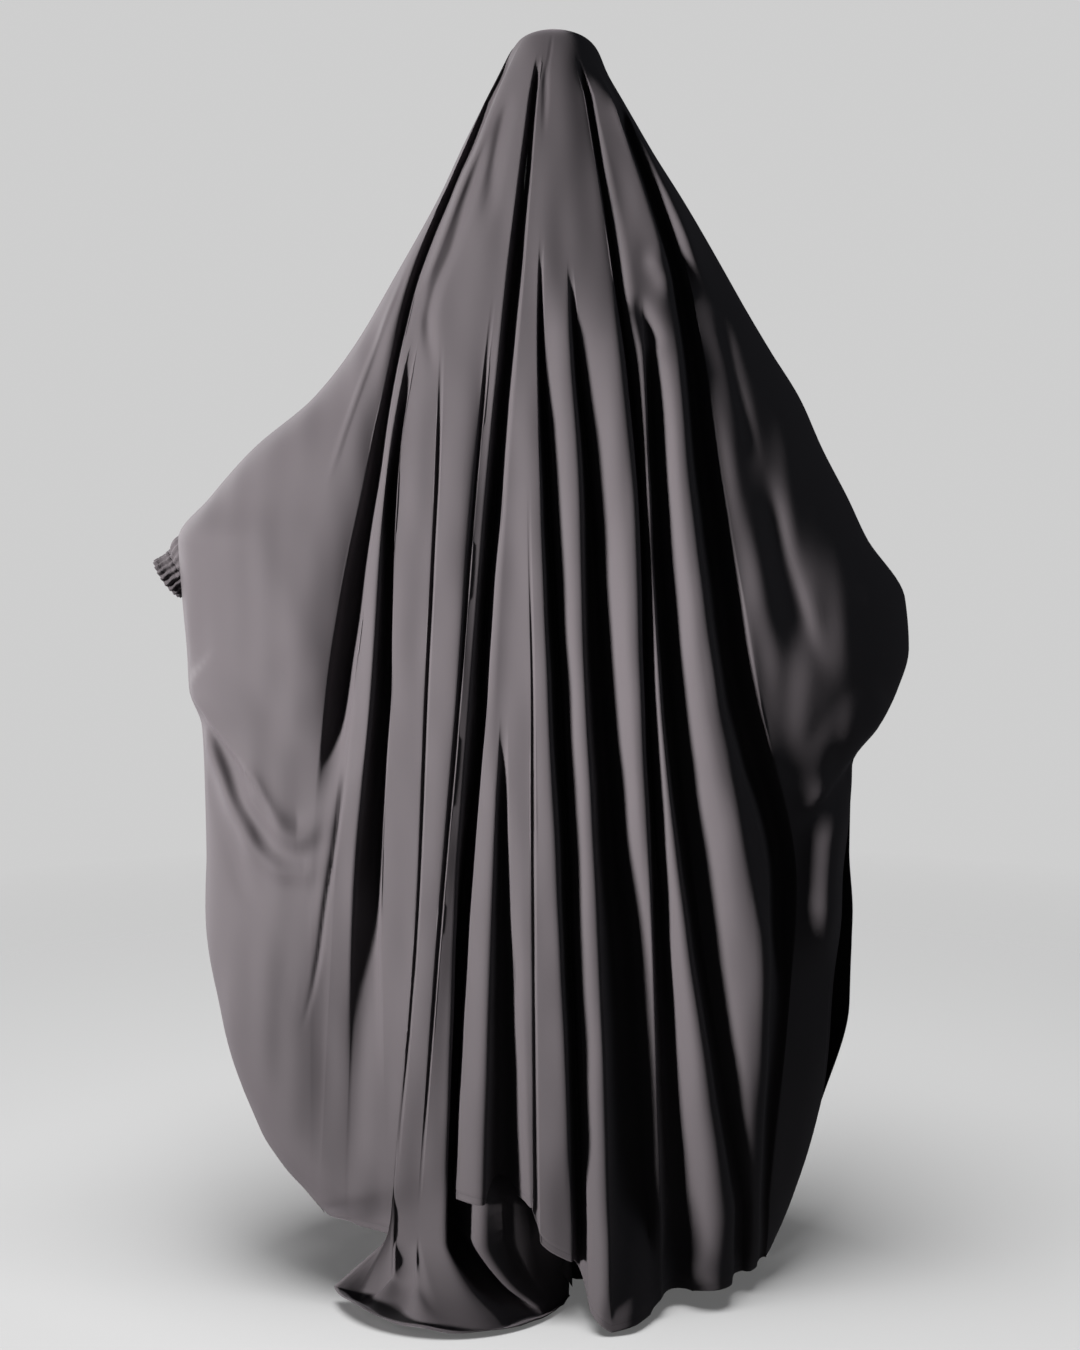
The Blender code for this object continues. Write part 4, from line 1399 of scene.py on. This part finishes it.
        def place(drop: Grid) -> tuple[Grid, Grid]:
            """The station's x and depth at each drop.

            Args:
                drop: depths below the crown.

            Returns:
                The x and the depth.
            """
            tucked = ease(drop, self.tuck_start, self.tuck_full)
            reach = ease(drop, self.tuck_start, CROWN_TO_FLOOR) * self.tuck_run
            width, floor = CENTRE_FOLD.width(drop), CENTRE_FOLD.depth(drop)
            open_x, open_depth = share_open * width, deep * floor
            run_x = self.tuck_at * width + share_run * reach
            run_depth = floor - raised * self.tuck_turn
            x = CENTRE_FOLD.place(drop) + open_x + (run_x - open_x) * tucked
            return x, open_depth + (run_depth - open_depth) * tucked

        return Station(place, hem)

    def fold_stations(self, fold: Fold) -> list[Station]:
        """The stations across one fold."""
        count = self.thin_count if fold.name in THIN_FOLDS else self.valley_count
        return [self.across_fold(fold, share) for share in np.linspace(-0.5, 0.5, count)]

    def pleat_stations(self, fold: Fold, following: Fold) -> list[Station]:
        """The stations over the pleat between two folds, closer together at its edges.

        Args:
            fold: the fold before the pleat.
            following: the fold after it.

        Returns:
            The stations.
        """
        at_wrist = FOLD_DROPS.index(WRIST)
        gap = following.places[at_wrist] - fold.places[at_wrist]
        count = self.wide_pleat_count if gap > self.wide_pleat else self.pleat_count
        turns = np.linspace(0.0, math.pi, count + 2)[1:-1]
        return [self.on_pleat(fold, following, (1.0 - math.cos(turn)) / 2.0) for turn in turns]

    def run(self, folds: Sequence[Fold]) -> list[Station]:
        """The stations across a run of folds and the pleats that part them.

        Args:
            folds: the folds, left to right.

        Returns:
            The stations.
        """
        stations = self.fold_stations(folds[0])
        for fold, following in zip(folds, folds[1:]):
            stations += self.pleat_stations(fold, following)
            stations += self.fold_stations(following)
        return stations

    def side_shares(self) -> list[float]:
        """Shares from a side edge to its nearest fold, closer together at both.

        Returns:
            The shares, rising.
        """
        even = np.linspace(0.0, 1.0, self.side_count)[:-1]
        bunched = (1.0 - np.cos(math.pi * even)) / 2.0
        shares = (even + self.side_bunching * (bunched - even)).tolist()
        return [shares[0], self.side_first] + shares[1:]

    def beside(self, edge: Edge, on_back: bool, fold: Fold, hem: float) -> list[Station]:
        """The stations between a side edge and its nearest fold, from the left to the right.

        Args:
            edge: the side edge.
            on_back: True for a back panel.
            fold: the nearest fold.
            hem: the hem's height at the edge in centimetres.

        Returns:
            The stations.
        """
        shares = self.side_shares()[:: int(edge.value)]
        return [self.on_side(edge, on_back, fold, share, hem) for share in shares]

    def back_left(self) -> list[Station]:
        """From the left side edge to the centre-back seam, whose lower end lies tucked under.

        Returns:
            The stations.
        """
        stations = self.beside(Edge.LEFT, True, LEFT_FOLDS[0], EDGE_HEM_LEFT)
        stations += self.run(LEFT_FOLDS)
        stations += self.pleat_stations(LEFT_FOLDS[-1], CENTRE_FOLD)
        stations.append(self.across_fold(CENTRE_FOLD, -0.5)._replace(hem=0.0))
        for share in np.linspace(-self.tuck_edge, 0.0, self.tuck_count):
            along = smooth(*zip(*self.under_run), share)
            raised = 0.5 * float(ease(share, -self.seam_raise, 0.0))
            stations.append(self.in_tuck(share, float(along), raised, 0.0))
        return stations

    def back_right(self) -> list[Station]:
        """From the centre-back seam, out of the tuck and over to the right side edge.

        Returns:
            The stations.
        """
        stations = []
        late, *late_run = self.late_raise
        for share in np.linspace(0.0, self.tuck_edge, self.tuck_count):
            along = smooth(*zip(*self.over_run), share)
            raised = 0.5 + 0.5 * float(ease(share, 0.0, self.seam_raise))
            raised += late * float(ease(share, *late_run))
            hem = smooth(*zip(*self.over_hems), share)
            stations.append(self.in_tuck(share, float(along), raised, float(hem)))
        stations.append(self.across_fold(CENTRE_FOLD, 0.5)._replace(hem=CENTRE_FOLD.hems[1]))
        stations += self.pleat_stations(CENTRE_FOLD, RIGHT_FOLDS[0])
        stations += self.run(RIGHT_FOLDS)
        return stations + self.beside(Edge.RIGHT, True, RIGHT_FOLDS[-1], EDGE_HEM_RIGHT)

    def front(self) -> list[Station]:
        """From the left side edge round the front to the right one.

        Returns:
            The stations.
        """
        stations = self.beside(Edge.LEFT, False, FRONT_FOLDS[0], EDGE_HEM_FRONT)
        stations += self.run(FRONT_FOLDS)
        return stations + self.beside(Edge.RIGHT, False, FRONT_FOLDS[-1], EDGE_HEM_FRONT)


class Socket:
    """A shader socket whose sums and products add Math nodes."""

    def __init__(self, maker: "NodeMaker", socket: bpy.types.NodeSocket) -> None:
        """Keep the socket and the tree it belongs to."""
        self.maker = maker
        self.socket = socket

    def math(self, operation: str, *values: "Socket | float") -> "Socket":
        """One Math node over values, this socket not among them unless given."""
        return self.maker.out("ShaderNodeMath", {"operation": operation}, dict(enumerate(values)))

    def __add__(self, other: "Socket | float") -> "Socket":
        """The sum."""
        return self.math("ADD", self, other)

    def __radd__(self, other: float) -> "Socket":
        """The sum, from the right."""
        return self.math("ADD", other, self)

    def __sub__(self, other: "Socket | float") -> "Socket":
        """The difference."""
        return self.math("SUBTRACT", self, other)

    def __rsub__(self, other: float) -> "Socket":
        """The difference, from the right."""
        return self.math("SUBTRACT", other, self)

    def __mul__(self, other: "Socket | float") -> "Socket":
        """The product."""
        return self.math("MULTIPLY", self, other)

    def __rmul__(self, other: float) -> "Socket":
        """The product, from the right."""
        return self.math("MULTIPLY", other, self)

    def wave(self) -> "Socket":
        """The sine."""
        return self.math("SINE", self)

    def fraction(self) -> "Socket":
        """What is left past the last whole number."""
        return self.math("FRACT", self)

    def distance(self) -> "Socket":
        """The value without its sign."""
        return self.math("ABSOLUTE", self)

    def below(self, limit: float) -> "Socket":
        """1 where the value is below a limit, else 0."""
        return self.math("LESS_THAN", self, limit)


class NodeMaker:
    """Makes the nodes of one material or world."""

    def __init__(self, tree: bpy.types.NodeTree) -> None:
        """Keep the tree."""
        self.tree = tree

    def node(self, kind: str, settings: dict, inputs: dict) -> bpy.types.Node:
        """Add a node.

        Args:
            kind: the node's type.
            settings: its own settings, set first.
            inputs: values or sockets for its inputs, by name or place.

        Returns:
            The node.
        """
        made = self.tree.nodes.new(kind)
        for key, value in settings.items():
            setattr(made, key, value)
        for key, value in inputs.items():
            if isinstance(value, Socket):
                self.tree.links.new(value.socket, made.inputs[key])
            else:
                made.inputs[key].default_value = value
        return made

    def out(self, kind: str, settings: dict, inputs: dict, output: str | int = 0) -> Socket:
        """Add a node and give one of its outputs."""
        return Socket(self, self.node(kind, settings, inputs).outputs[output])

    def noise(self, place: Socket, size: float, detail: float, roughness: float) -> Socket:
        """Noise whose features are of one size in metres."""
        inputs = {"Vector": place, "Scale": 1.0 / size, "Detail": detail, "Roughness": roughness}
        return self.out("ShaderNodeTexNoise", {}, inputs)

    def parts(self, vector: Socket) -> tuple[Socket, Socket]:
        """The first two parts of a vector."""
        split = self.node("ShaderNodeSeparateXYZ", {}, {0: vector})
        return Socket(self, split.outputs[0]), Socket(self, split.outputs[1])

    def mix(self, share: Socket, first: Socket | tuple, second: Socket | tuple) -> Socket:
        """Two colours mixed, all of the second where share is 1."""
        inputs = {"Factor": share, 6: first, 7: second}
        return self.out("ShaderNodeMix", {"data_type": "RGBA"}, inputs, 2)


@dataclass(frozen=True)
class Finish:
    """The look of one surface."""

    name: str

    def material(self) -> bpy.types.Material:
        """The finish's material, made once.

        Returns:
            The material.
        """
        made = bpy.data.materials.get(self.name)
        if made:
            return made
        made = bpy.data.materials.new(self.name)
        made.use_nodes = True
        made.node_tree.nodes.clear()
        self.paint(NodeMaker(made.node_tree))
        return made

    def paint(self, maker: NodeMaker) -> None:
        """Add the finish's nodes."""
        raise NotImplementedError


@dataclass(frozen=True)
class Crepe(Finish):
    """Matte charcoal crepe: a pebbled weave with a soft sheen and its stitched hem."""

    dark: Triple = (0.044, 0.0395, 0.0425)
    light: Triple = (0.058, 0.0525, 0.056)
    thread: Triple = (0.030, 0.028, 0.030)
    sheen: float = 0.20
    sheen_roughness: float = 0.45
    sheen_tint: Triple = (0.62, 0.58, 0.62)
    roughness: float = 0.82
    thread_pitch: float = 0.0009
    grain_size: float = 0.0013
    cloud_size: float = 0.16
    stitch_line: float = 0.0095
    stitch_pitch: float = 0.0036
    stitch_width: float = 0.0005
    stitch_share: float = 0.68
    tone_mix: Triple = (0.45, 0.40, 0.15)
    height_mix: Triple = (0.65, 0.35, 1.2)
    bump: float = 0.00022
    bump_strength: float = 0.55
    roughness_spread: float = 0.12
    specular: float = 0.30

    def paint(self, maker: NodeMaker) -> None:
        """Add the crepe's nodes.

        Args:
            maker: makes the material's nodes.
        """
        place = maker.out("ShaderNodeTexCoord", {}, {}, "Object")
        cut = maker.out("ShaderNodeUVMap", {"uv_map": "cut"}, {})
        hem = maker.out("ShaderNodeUVMap", {"uv_map": "hem"}, {})
        grain = maker.noise(place, self.grain_size, 3.0, 0.6)
        cloud = maker.noise(place, self.cloud_size, 4.0, 0.55)
        across, down = maker.parts(cut)
        along_hem, to_hem = maker.parts(hem)
        threads = math.tau / self.thread_pitch
        weave = (across * threads).wave() * (down * threads).wave() * 0.25 + 0.5
        beside = (to_hem - self.stitch_line).distance().below(self.stitch_width)
        stitch = beside * (along_hem * (1.0 / self.stitch_pitch)).fraction().below(self.stitch_share)
        of_cloud, of_grain, of_weave = self.tone_mix
        tone = cloud * of_cloud + grain * of_grain + weave * of_weave
        cloth = maker.mix(tone, (*self.dark, 1.0), (*self.light, 1.0))
        colour = maker.mix(stitch, cloth, (*self.thread, 1.0))
        by_grain, by_weave, by_stitch = self.height_mix
        height = grain * by_grain + weave * by_weave - stitch * by_stitch
        bump = {"Strength": self.bump_strength, "Distance": self.bump, "Height": height}
        look = {
            "Base Color": colour,
            "Roughness": self.roughness + (grain - 0.5) * self.roughness_spread,
            "Normal": maker.out("ShaderNodeBump", {}, bump),
            "Sheen Weight": self.sheen,
            "Sheen Roughness": self.sheen_roughness,
            "Sheen Tint": (*self.sheen_tint, 1.0),
            "Specular IOR Level": self.specular,
        }
        shader = maker.out("ShaderNodeBsdfPrincipled", {}, look)
        maker.node("ShaderNodeOutputMaterial", {}, {"Surface": shader})


@dataclass
class Tube:
    """A sleeve end or cuff: a thin tube of cloth, gathered by its elastic."""

    name: str
    node: str
    place: TubePlace
    rings: tuple[TubeRing, ...]
    flat: Pair
    gathers: int
    gather: Triple
    channels: tuple[float, ...] = ()
    slot: str = "crepe"
    around: int = 168
    rows: int = 40
    seed: int = 5
    sway: Pair = (0.2, 0.5)
    sway_turns: tuple[int, ...] = (2, 3, 5)
    lean: Pair = (0.5, 9.0)
    fullness: float = 0.8
    channel_depth: float = 0.0009
    channel_width: float = 0.10

    def build(self, finish: Crepe) -> bpy.types.Object:
        """Build, dress and place the tube.

        Args:
            finish: the cloth's finish.

        Returns:
            The finished piece.
        """
        start, way, across, up = tube_axes(self.place)
        knots = [ring.along for ring in self.rings]
        along = np.linspace(knots[0], knots[-1], self.rows)
        radius = smooth(knots, [ring.radius for ring in self.rings], along) * CM
        angle = math.tau * (np.arange(self.around + 1) % self.around) / self.around
        chance = np.random.default_rng(self.seed)
        sway = sum(
            chance.uniform(*self.sway) * np.sin(turns * angle + chance.uniform(0.0, math.tau))
            for turns in self.sway_turns
        )
        share = (along - knots[0]) / (knots[-1] - knots[0])
        strength = np.interp(share, (0.0, 0.5, 1.0), self.gather) * CM
        lean = self.lean[0] * np.sin(self.lean[1] * share)
        ruche = np.sin(self.gathers * angle[None, :] + sway[None, :] + lean[:, None])
        ruche = np.sign(ruche) * np.abs(ruche) ** self.fullness
        out = radius[:, None] + strength[:, None] * ruche
        for channel in self.channels:
            off = (along[:, None] - channel) / self.channel_width
            out = out - self.channel_depth * np.exp(-(off**2))
        ring_x, ring_y = np.cos(angle)[None, :, None], np.sin(angle)[None, :, None]
        way_out = ring_x * np.array(across) + ring_y * np.array(up)
        points = np.array(start) + (along * CM)[:, None, None] * np.array(way) + out[..., None] * way_out
        piece = Sheet(self.name, points, outward=True).make()
        settle(piece, finish, self.node)
        return piece


@dataclass
class FaceCasing:
    """The rolled elastic casing that lines the face opening."""

    hole: FaceHole
    radius: float = 0.0032
    gap: float = 0.0004
    around: int = 260
    sides: int = 14
    gathers: int = 74
    ripple: float = 0.0005
    cloth: float = 0.0006

    def build(self, finish: Crepe) -> bpy.types.Object:
        """Build, dress and place the casing.

        Args:
            finish: the cloth's finish.

        Returns:
            The finished piece.
        """
        inset = self.radius + self.gap
        angle = math.tau * (np.arange(self.around + 1) % self.around) / self.around
        x = (self.hole.half_width - inset) * np.cos(angle)
        drop = self.hole.drop - (self.hole.half_height - inset) * np.sin(angle)
        y = envelope(x, drop, Side.FRONT) - WALL / 2.0
        centre = np.stack((x, y, WALL - drop), axis=-1)
        way = np.roll(centre[:-1], -1, axis=0) - np.roll(centre[:-1], 1, axis=0)
        way = np.concatenate((way, way[:1]))
        way /= np.linalg.norm(way, axis=1, keepdims=True)
        out = np.cross(way, (0.0, 1.0, 0.0))
        out /= np.linalg.norm(out, axis=1, keepdims=True)
        up = np.cross(way, out)
        turn = math.tau * (np.arange(self.sides + 1) % self.sides) / self.sides
        radius = self.radius - self.ripple * (0.5 + 0.5 * np.cos(self.gathers * angle))
        points = centre[:, None] + radius[:, None, None] * (
            np.cos(turn)[None, :, None] * out[:, None] + np.sin(turn)[None, :, None] * up[:, None]
        )
        piece = Sheet("face_casing", points, outward=True).make(thickness=self.cloth)
        settle(piece, finish, "face_band")
        return piece


class SkirtSection(NamedTuple):
    """The skirt at one height, in centimetres."""

    drop: float
    half_width: float
    half_depth: float
    wave: float


@dataclass
class Skirt:
    """The long skirt under the cape: two gathered halves and an elastic waistband."""

    sections: tuple[SkirtSection, ...] = (
        SkirtSection(72.6, 14.5, 9.5, 0.2),
        SkirtSection(82.0, 16.8, 10.4, 0.4),
        SkirtSection(105.0, 19.4, 11.7, 0.7),
        SkirtSection(140.0, 21.8, 13.4, 1.1),
        SkirtSection(172.5, 23.4, 15.0, 1.4),
    )
    waves: int = 9
    stations: int = 150
    rows: int = 110
    seam_calm: float = 0.20
    gathers: int = 34
    gather: float = 0.0016
    gather_run: float = 0.10
    drift: Triple = (0.35, 3.0, 2.2)
    band_height: float = 0.035
    band_bulge: float = 0.0015
    band_gathers: int = 64
    band_around: int = 384
    band_rows: int = 22
    band_channels: Pair = (0.3, 0.7)
    channel_depth: float = 0.0008
    channel_width: float = 0.05
    band_gather: float = 0.0010
    band_sway: Pair = (0.6, 5.0)
    fit_gap: float = 0.0003

    def half(self, side: Side, finish: Crepe) -> bpy.types.Object:
        """Build, dress and place one half of the skirt.

        Args:
            side: the back or the front.
            finish: the cloth's finish.

        Returns:
            The finished piece.
        """
        knots = [row.drop for row in self.sections]
        drop = np.linspace(knots[0], knots[-1], self.rows)
        width, depth, wave = (
            CM * smooth(knots, [getattr(row, column) for row in self.sections], drop)[:, None]
            for column in ("half_width", "half_depth", "wave")
        )
        angle = np.linspace(0.0, math.pi, self.stations)[None, :]
        calm = ease(np.sin(angle), 0.0, self.seam_calm)
        fall = (drop[:, None] - knots[0]) * CM
        gather = self.gather * np.exp(-fall / self.gather_run) * np.cos(2.0 * self.gathers * angle)
        most, by_angle, by_fall = self.drift
        drift = most * np.sin(by_angle * angle + by_fall * fall)
        ripple = calm * (wave * np.cos(2.0 * self.waves * angle + drift) + gather)
        x = -(width + ripple) * np.cos(angle)
        y = side.value * ((depth + ripple) * np.sin(angle) + SEAM_GAP / 2.0)
        z = WALL - drop[:, None] * CM + 0.0 * x
        node = f"skirt_{side.name.lower()}"
        sheet = Sheet(f"{node}_cloth", np.stack((x, y, z), axis=-1), outward=side is Side.FRONT)
        to_hem = run_lengths(sheet.points, 0)
        to_hem = to_hem[-1] - to_hem
        sheet.push(HEM_RAISED * (1.0 - ease(to_hem, HEM_DEPTH, HEM_DEPTH + HEM_STEP)))
        piece = sheet.make()
        settle(piece, finish, node)
        return piece

    def band(self, finish: Crepe) -> bpy.types.Object:
        """Build, dress and place the waistband.

        Args:
            finish: the cloth's finish.

        Returns:
            The finished piece.
        """
        top = self.sections[0]
        share = np.linspace(0.0, 1.0, self.band_rows)
        angle = math.tau * (np.arange(self.band_around + 1) % self.band_around) / self.band_around
        bulge = self.band_bulge * np.sin(math.pi * share)[:, None]
        dips = sum(np.exp(-(((share - at) / self.channel_width) ** 2)) for at in self.band_channels)
        channel = -self.channel_depth * dips[:, None]
        sway = self.band_sway[0] * np.sin(self.band_sway[1] * angle)
        ruche = self.band_gather * np.sin(self.band_gathers * angle + sway)[None, :]
        swell = bulge + channel + ruche * np.sin(math.pi * share)[:, None] ** 0.5
        x = (top.half_width * CM + swell) * np.cos(angle)
        y = (top.half_depth * CM + swell) * np.sin(angle)
        z = WALL - (top.drop * CM - self.fit_gap - share * self.band_height)[:, None] + 0.0 * x
        piece = Sheet("waistband_casing", np.stack((x, y, z), axis=-1)[::-1], outward=False).make()
        settle(piece, finish, "waistband")
        return piece


@dataclass(frozen=True)
class FloorPaint(Finish):
    """A plain pale floor that fades into the backdrop."""

    colour: Triple = (0.62, 0.62, 0.62)
    bounce: float = 0.10
    near: float = 1.4
    far: float = 3.4

    def paint(self, maker: NodeMaker) -> None:
        """Add the floor's nodes.

        Args:
            maker: makes the material's nodes.
        """
        place = maker.out("ShaderNodeTexCoord", {}, {}, "Object")
        away = maker.out("ShaderNodeVectorMath", {"operation": "LENGTH"}, {0: place}, "Value")
        fade = maker.out("ShaderNodeMapRange", {}, {0: away, 1: self.near, 2: self.far, 3: 0.0, 4: 1.0})
        seen = maker.out("ShaderNodeLightPath", {}, {}, "Is Camera Ray")
        pale = maker.out("ShaderNodeBsdfDiffuse", {}, {"Color": (*self.colour, 1.0)})
        dull = maker.out("ShaderNodeBsdfDiffuse", {}, {"Color": (self.bounce,) * 3 + (1.0,)})
        clear = maker.out("ShaderNodeBsdfTransparent", {}, {})
        top = maker.out("ShaderNodeMixShader", {}, {0: seen, 1: dull, 2: pale})
        shader = maker.out("ShaderNodeMixShader", {}, {0: fade, 1: top, 2: clear})
        maker.node("ShaderNodeOutputMaterial", {}, {"Surface": shader})


class Lamp(NamedTuple):
    """One soft lamp: where it stands, what it points at, its width, its watts and its colour.

    cone is the angle of its beam in degrees, or 0 for a square panel.
    """

    name: str
    place: Triple
    target: Triple
    size: float
    power: float
    colour: Triple
    cone: float = 0.0

    def hang(self, lit: Sequence[bpy.types.Object]) -> None:
        """Add the lamp, which lights only some objects.

        Args:
            lit: the objects that it lights.
        """
        data = bpy.data.lights.new(self.name, "SPOT" if self.cone else "AREA")
        if self.cone:
            data.spot_size = math.radians(self.cone)
            data.spot_blend = 1.0
            data.shadow_soft_size = self.size / 2.0
        else:
            data.size = self.size
        data.energy = self.power
        data.color = self.colour
        lamp = bpy.data.objects.new(self.name, data)
        bpy.context.scene.collection.objects.link(lamp)
        lamp.location = self.place
        lamp.rotation_euler = (Vector(self.target) - Vector(self.place)).to_track_quat("-Z", "Y").to_euler()
        group = bpy.data.collections.new(f"{self.name}_lights")
        for obj in lit:
            group.objects.link(obj)
        lamp.light_linking.receiver_collection = group


WARM, COOL, WHITE = (1.0, 0.955, 0.965), (0.86, 0.92, 1.0), (1.0, 1.0, 1.0)
GARMENT_LAMPS = (
    Lamp("key", (-7.50, -4.10, 0.25), (0.0, -0.1, -0.82), 2.2, 18800.0, WARM, 17.5),
    Lamp("front_fill", (-3.3, 3.3, 0.2), (0.0, 0.1, -0.8), 1.8, 210.0, WHITE),
    Lamp("right_fill", (2.4, -1.2, 0.7), (0.2, 0.0, -0.5), 1.5, 7.0, COOL),
)
FLOOR_LAMP = Lamp("floor_light", (-0.4, -0.6, 3.2), (0.0, 0.0, -1.73), 3.0, 330.0, WHITE)


@dataclass
class Studio:
    """The floor, the lights and the camera."""

    backdrop: float = 0.62
    ambient: Triple = (0.022, 0.023, 0.026)
    floor_radius: float = 4.0
    camera_place: Triple = (-0.01785, -3.2, -0.48)
    camera_tilt: float = 82.67
    lens: float = 60.45
    sensor: float = 36.0

    def floor(self) -> bpy.types.Object:
        """Lay the floor.

        Returns:
            The floor.
        """
        bpy.ops.object.select_all(action="DESELECT")
        bpy.ops.mesh.primitive_circle_add(vertices=96, radius=self.floor_radius, fill_type="NGON")
        disc = bpy.context.active_object
        disc.name = "studio_floor"
        disc.data.transform(Matrix.Translation((0.0, 0.0, -CROWN_TO_FLOOR)))
        dress(disc, FloorPaint("pale_floor"))
        return disc

    def world(self) -> None:
        """Make the plain backdrop and the faint light round the room."""
        world = bpy.data.worlds.new("studio")
        bpy.context.scene.world = world
        world.use_nodes = True
        world.node_tree.nodes.clear()
        maker = NodeMaker(world.node_tree)
        seen = maker.out("ShaderNodeLightPath", {}, {}, "Is Camera Ray")
        behind = maker.out("ShaderNodeBackground", {}, {"Color": (self.backdrop,) * 3 + (1.0,)})
        room = maker.out("ShaderNodeBackground", {}, {"Color": (*self.ambient, 1.0)})
        both = maker.out("ShaderNodeMixShader", {}, {0: seen, 1: room, 2: behind})
        maker.node("ShaderNodeOutputWorld", {}, {"Surface": both})

    def camera(self) -> None:
        """Stand the camera where the photograph was taken."""
        data = bpy.data.cameras.new("camera")
        data.sensor_fit = "AUTO"
        data.sensor_width = self.sensor
        data.lens = self.lens
        camera = bpy.data.objects.new("camera", data)
        bpy.context.scene.collection.objects.link(camera)
        camera.location = self.camera_place
        camera.rotation_euler = (math.radians(self.camera_tilt), 0.0, 0.0)
        bpy.context.scene.camera = camera

    def build(self, garment: Sequence[bpy.types.Object]) -> None:
        """Set up the studio round the garment.

        Args:
            garment: the finished pieces.
        """
        floor = self.floor()
        self.world()
        for lamp in GARMENT_LAMPS:
            lamp.hang(garment)
        FLOOR_LAMP.hang([floor])
        self.camera()
        bpy.context.scene.view_settings.view_transform = "Standard"


def main() -> None:
    """Build every piece, dress it and set up the studio."""
    logging.basicConfig(level=logging.INFO, format="%(name)s: %(message)s")
    crepe = Crepe("charcoal_crepe")
    # The cuffs, face casing and waistband get a darker copy of the same crepe: its lower colours are
    # painted shade of the gathers
    gathered = Crepe("gathered_charcoal_crepe", dark=(0.040, 0.036, 0.039), light=(0.054, 0.049, 0.052))
    left_cutter, right_cutter = PanelCutter(), PanelCutter(side_count=44)
    front_cutter = PanelCutter(side_count=24, valley_count=11, wide_pleat_count=10)
    face = FaceHole()
    left_hole, right_hole = SleeveHole(LEFT_WRIST), SleeveHole(RIGHT_WRIST)
    panels = (
        CapePanel(
            "cape_back_left_cloth", "cape_back_left", Side.BACK, left_cutter.back_left(),
            BACK_CREASES + TRAIN_CREASES, (1.05, 1.75), 0.96, Undulation(11), (0,), (left_hole,),
        ),
        CapePanel(
            "cape_back_right_cloth", "cape_back_right", Side.BACK, right_cutter.back_right(),
            BACK_CREASES, (1.40, 1.75), 1.49, Undulation(11), (-1,),
        ),
        CapePanel(
            "cape_front_cloth", "cape_front", Side.FRONT, front_cutter.front(),
            FRONT_CREASES, (1.80, 1.75), 2.00, Undulation(13), (0, -1), (face, left_hole, right_hole),
        ),
    )
    garment = [panel.build(crepe) for panel in panels]
    for end, place in (("left", LEFT_WRIST), ("right", RIGHT_WRIST)):
        sleeve = Tube(
            f"sleeve_end_{end}_cloth", f"sleeve_end_{end}", place, SLEEVE_RINGS,
            (0.26, 0.090), 19, (0.0, 0.04, 0.22),
        )
        cuff = Tube(
            f"cuff_{end}_casing", f"cuff_{end}", place, CUFF_RINGS,
            (0.26, 0.030), 19, (0.20, 0.22, 0.26), (9.7, 10.9), "gathered_crepe", rows=26,
        )
        garment += [sleeve.build(crepe), cuff.build(gathered)]
    garment.append(FaceCasing(face).build(gathered))
    skirt = Skirt()
    garment += [skirt.half(Side.FRONT, crepe), skirt.half(Side.BACK, crepe), skirt.band(gathered)]
    Studio().build(garment)


if __name__ == "__main__":
    main()
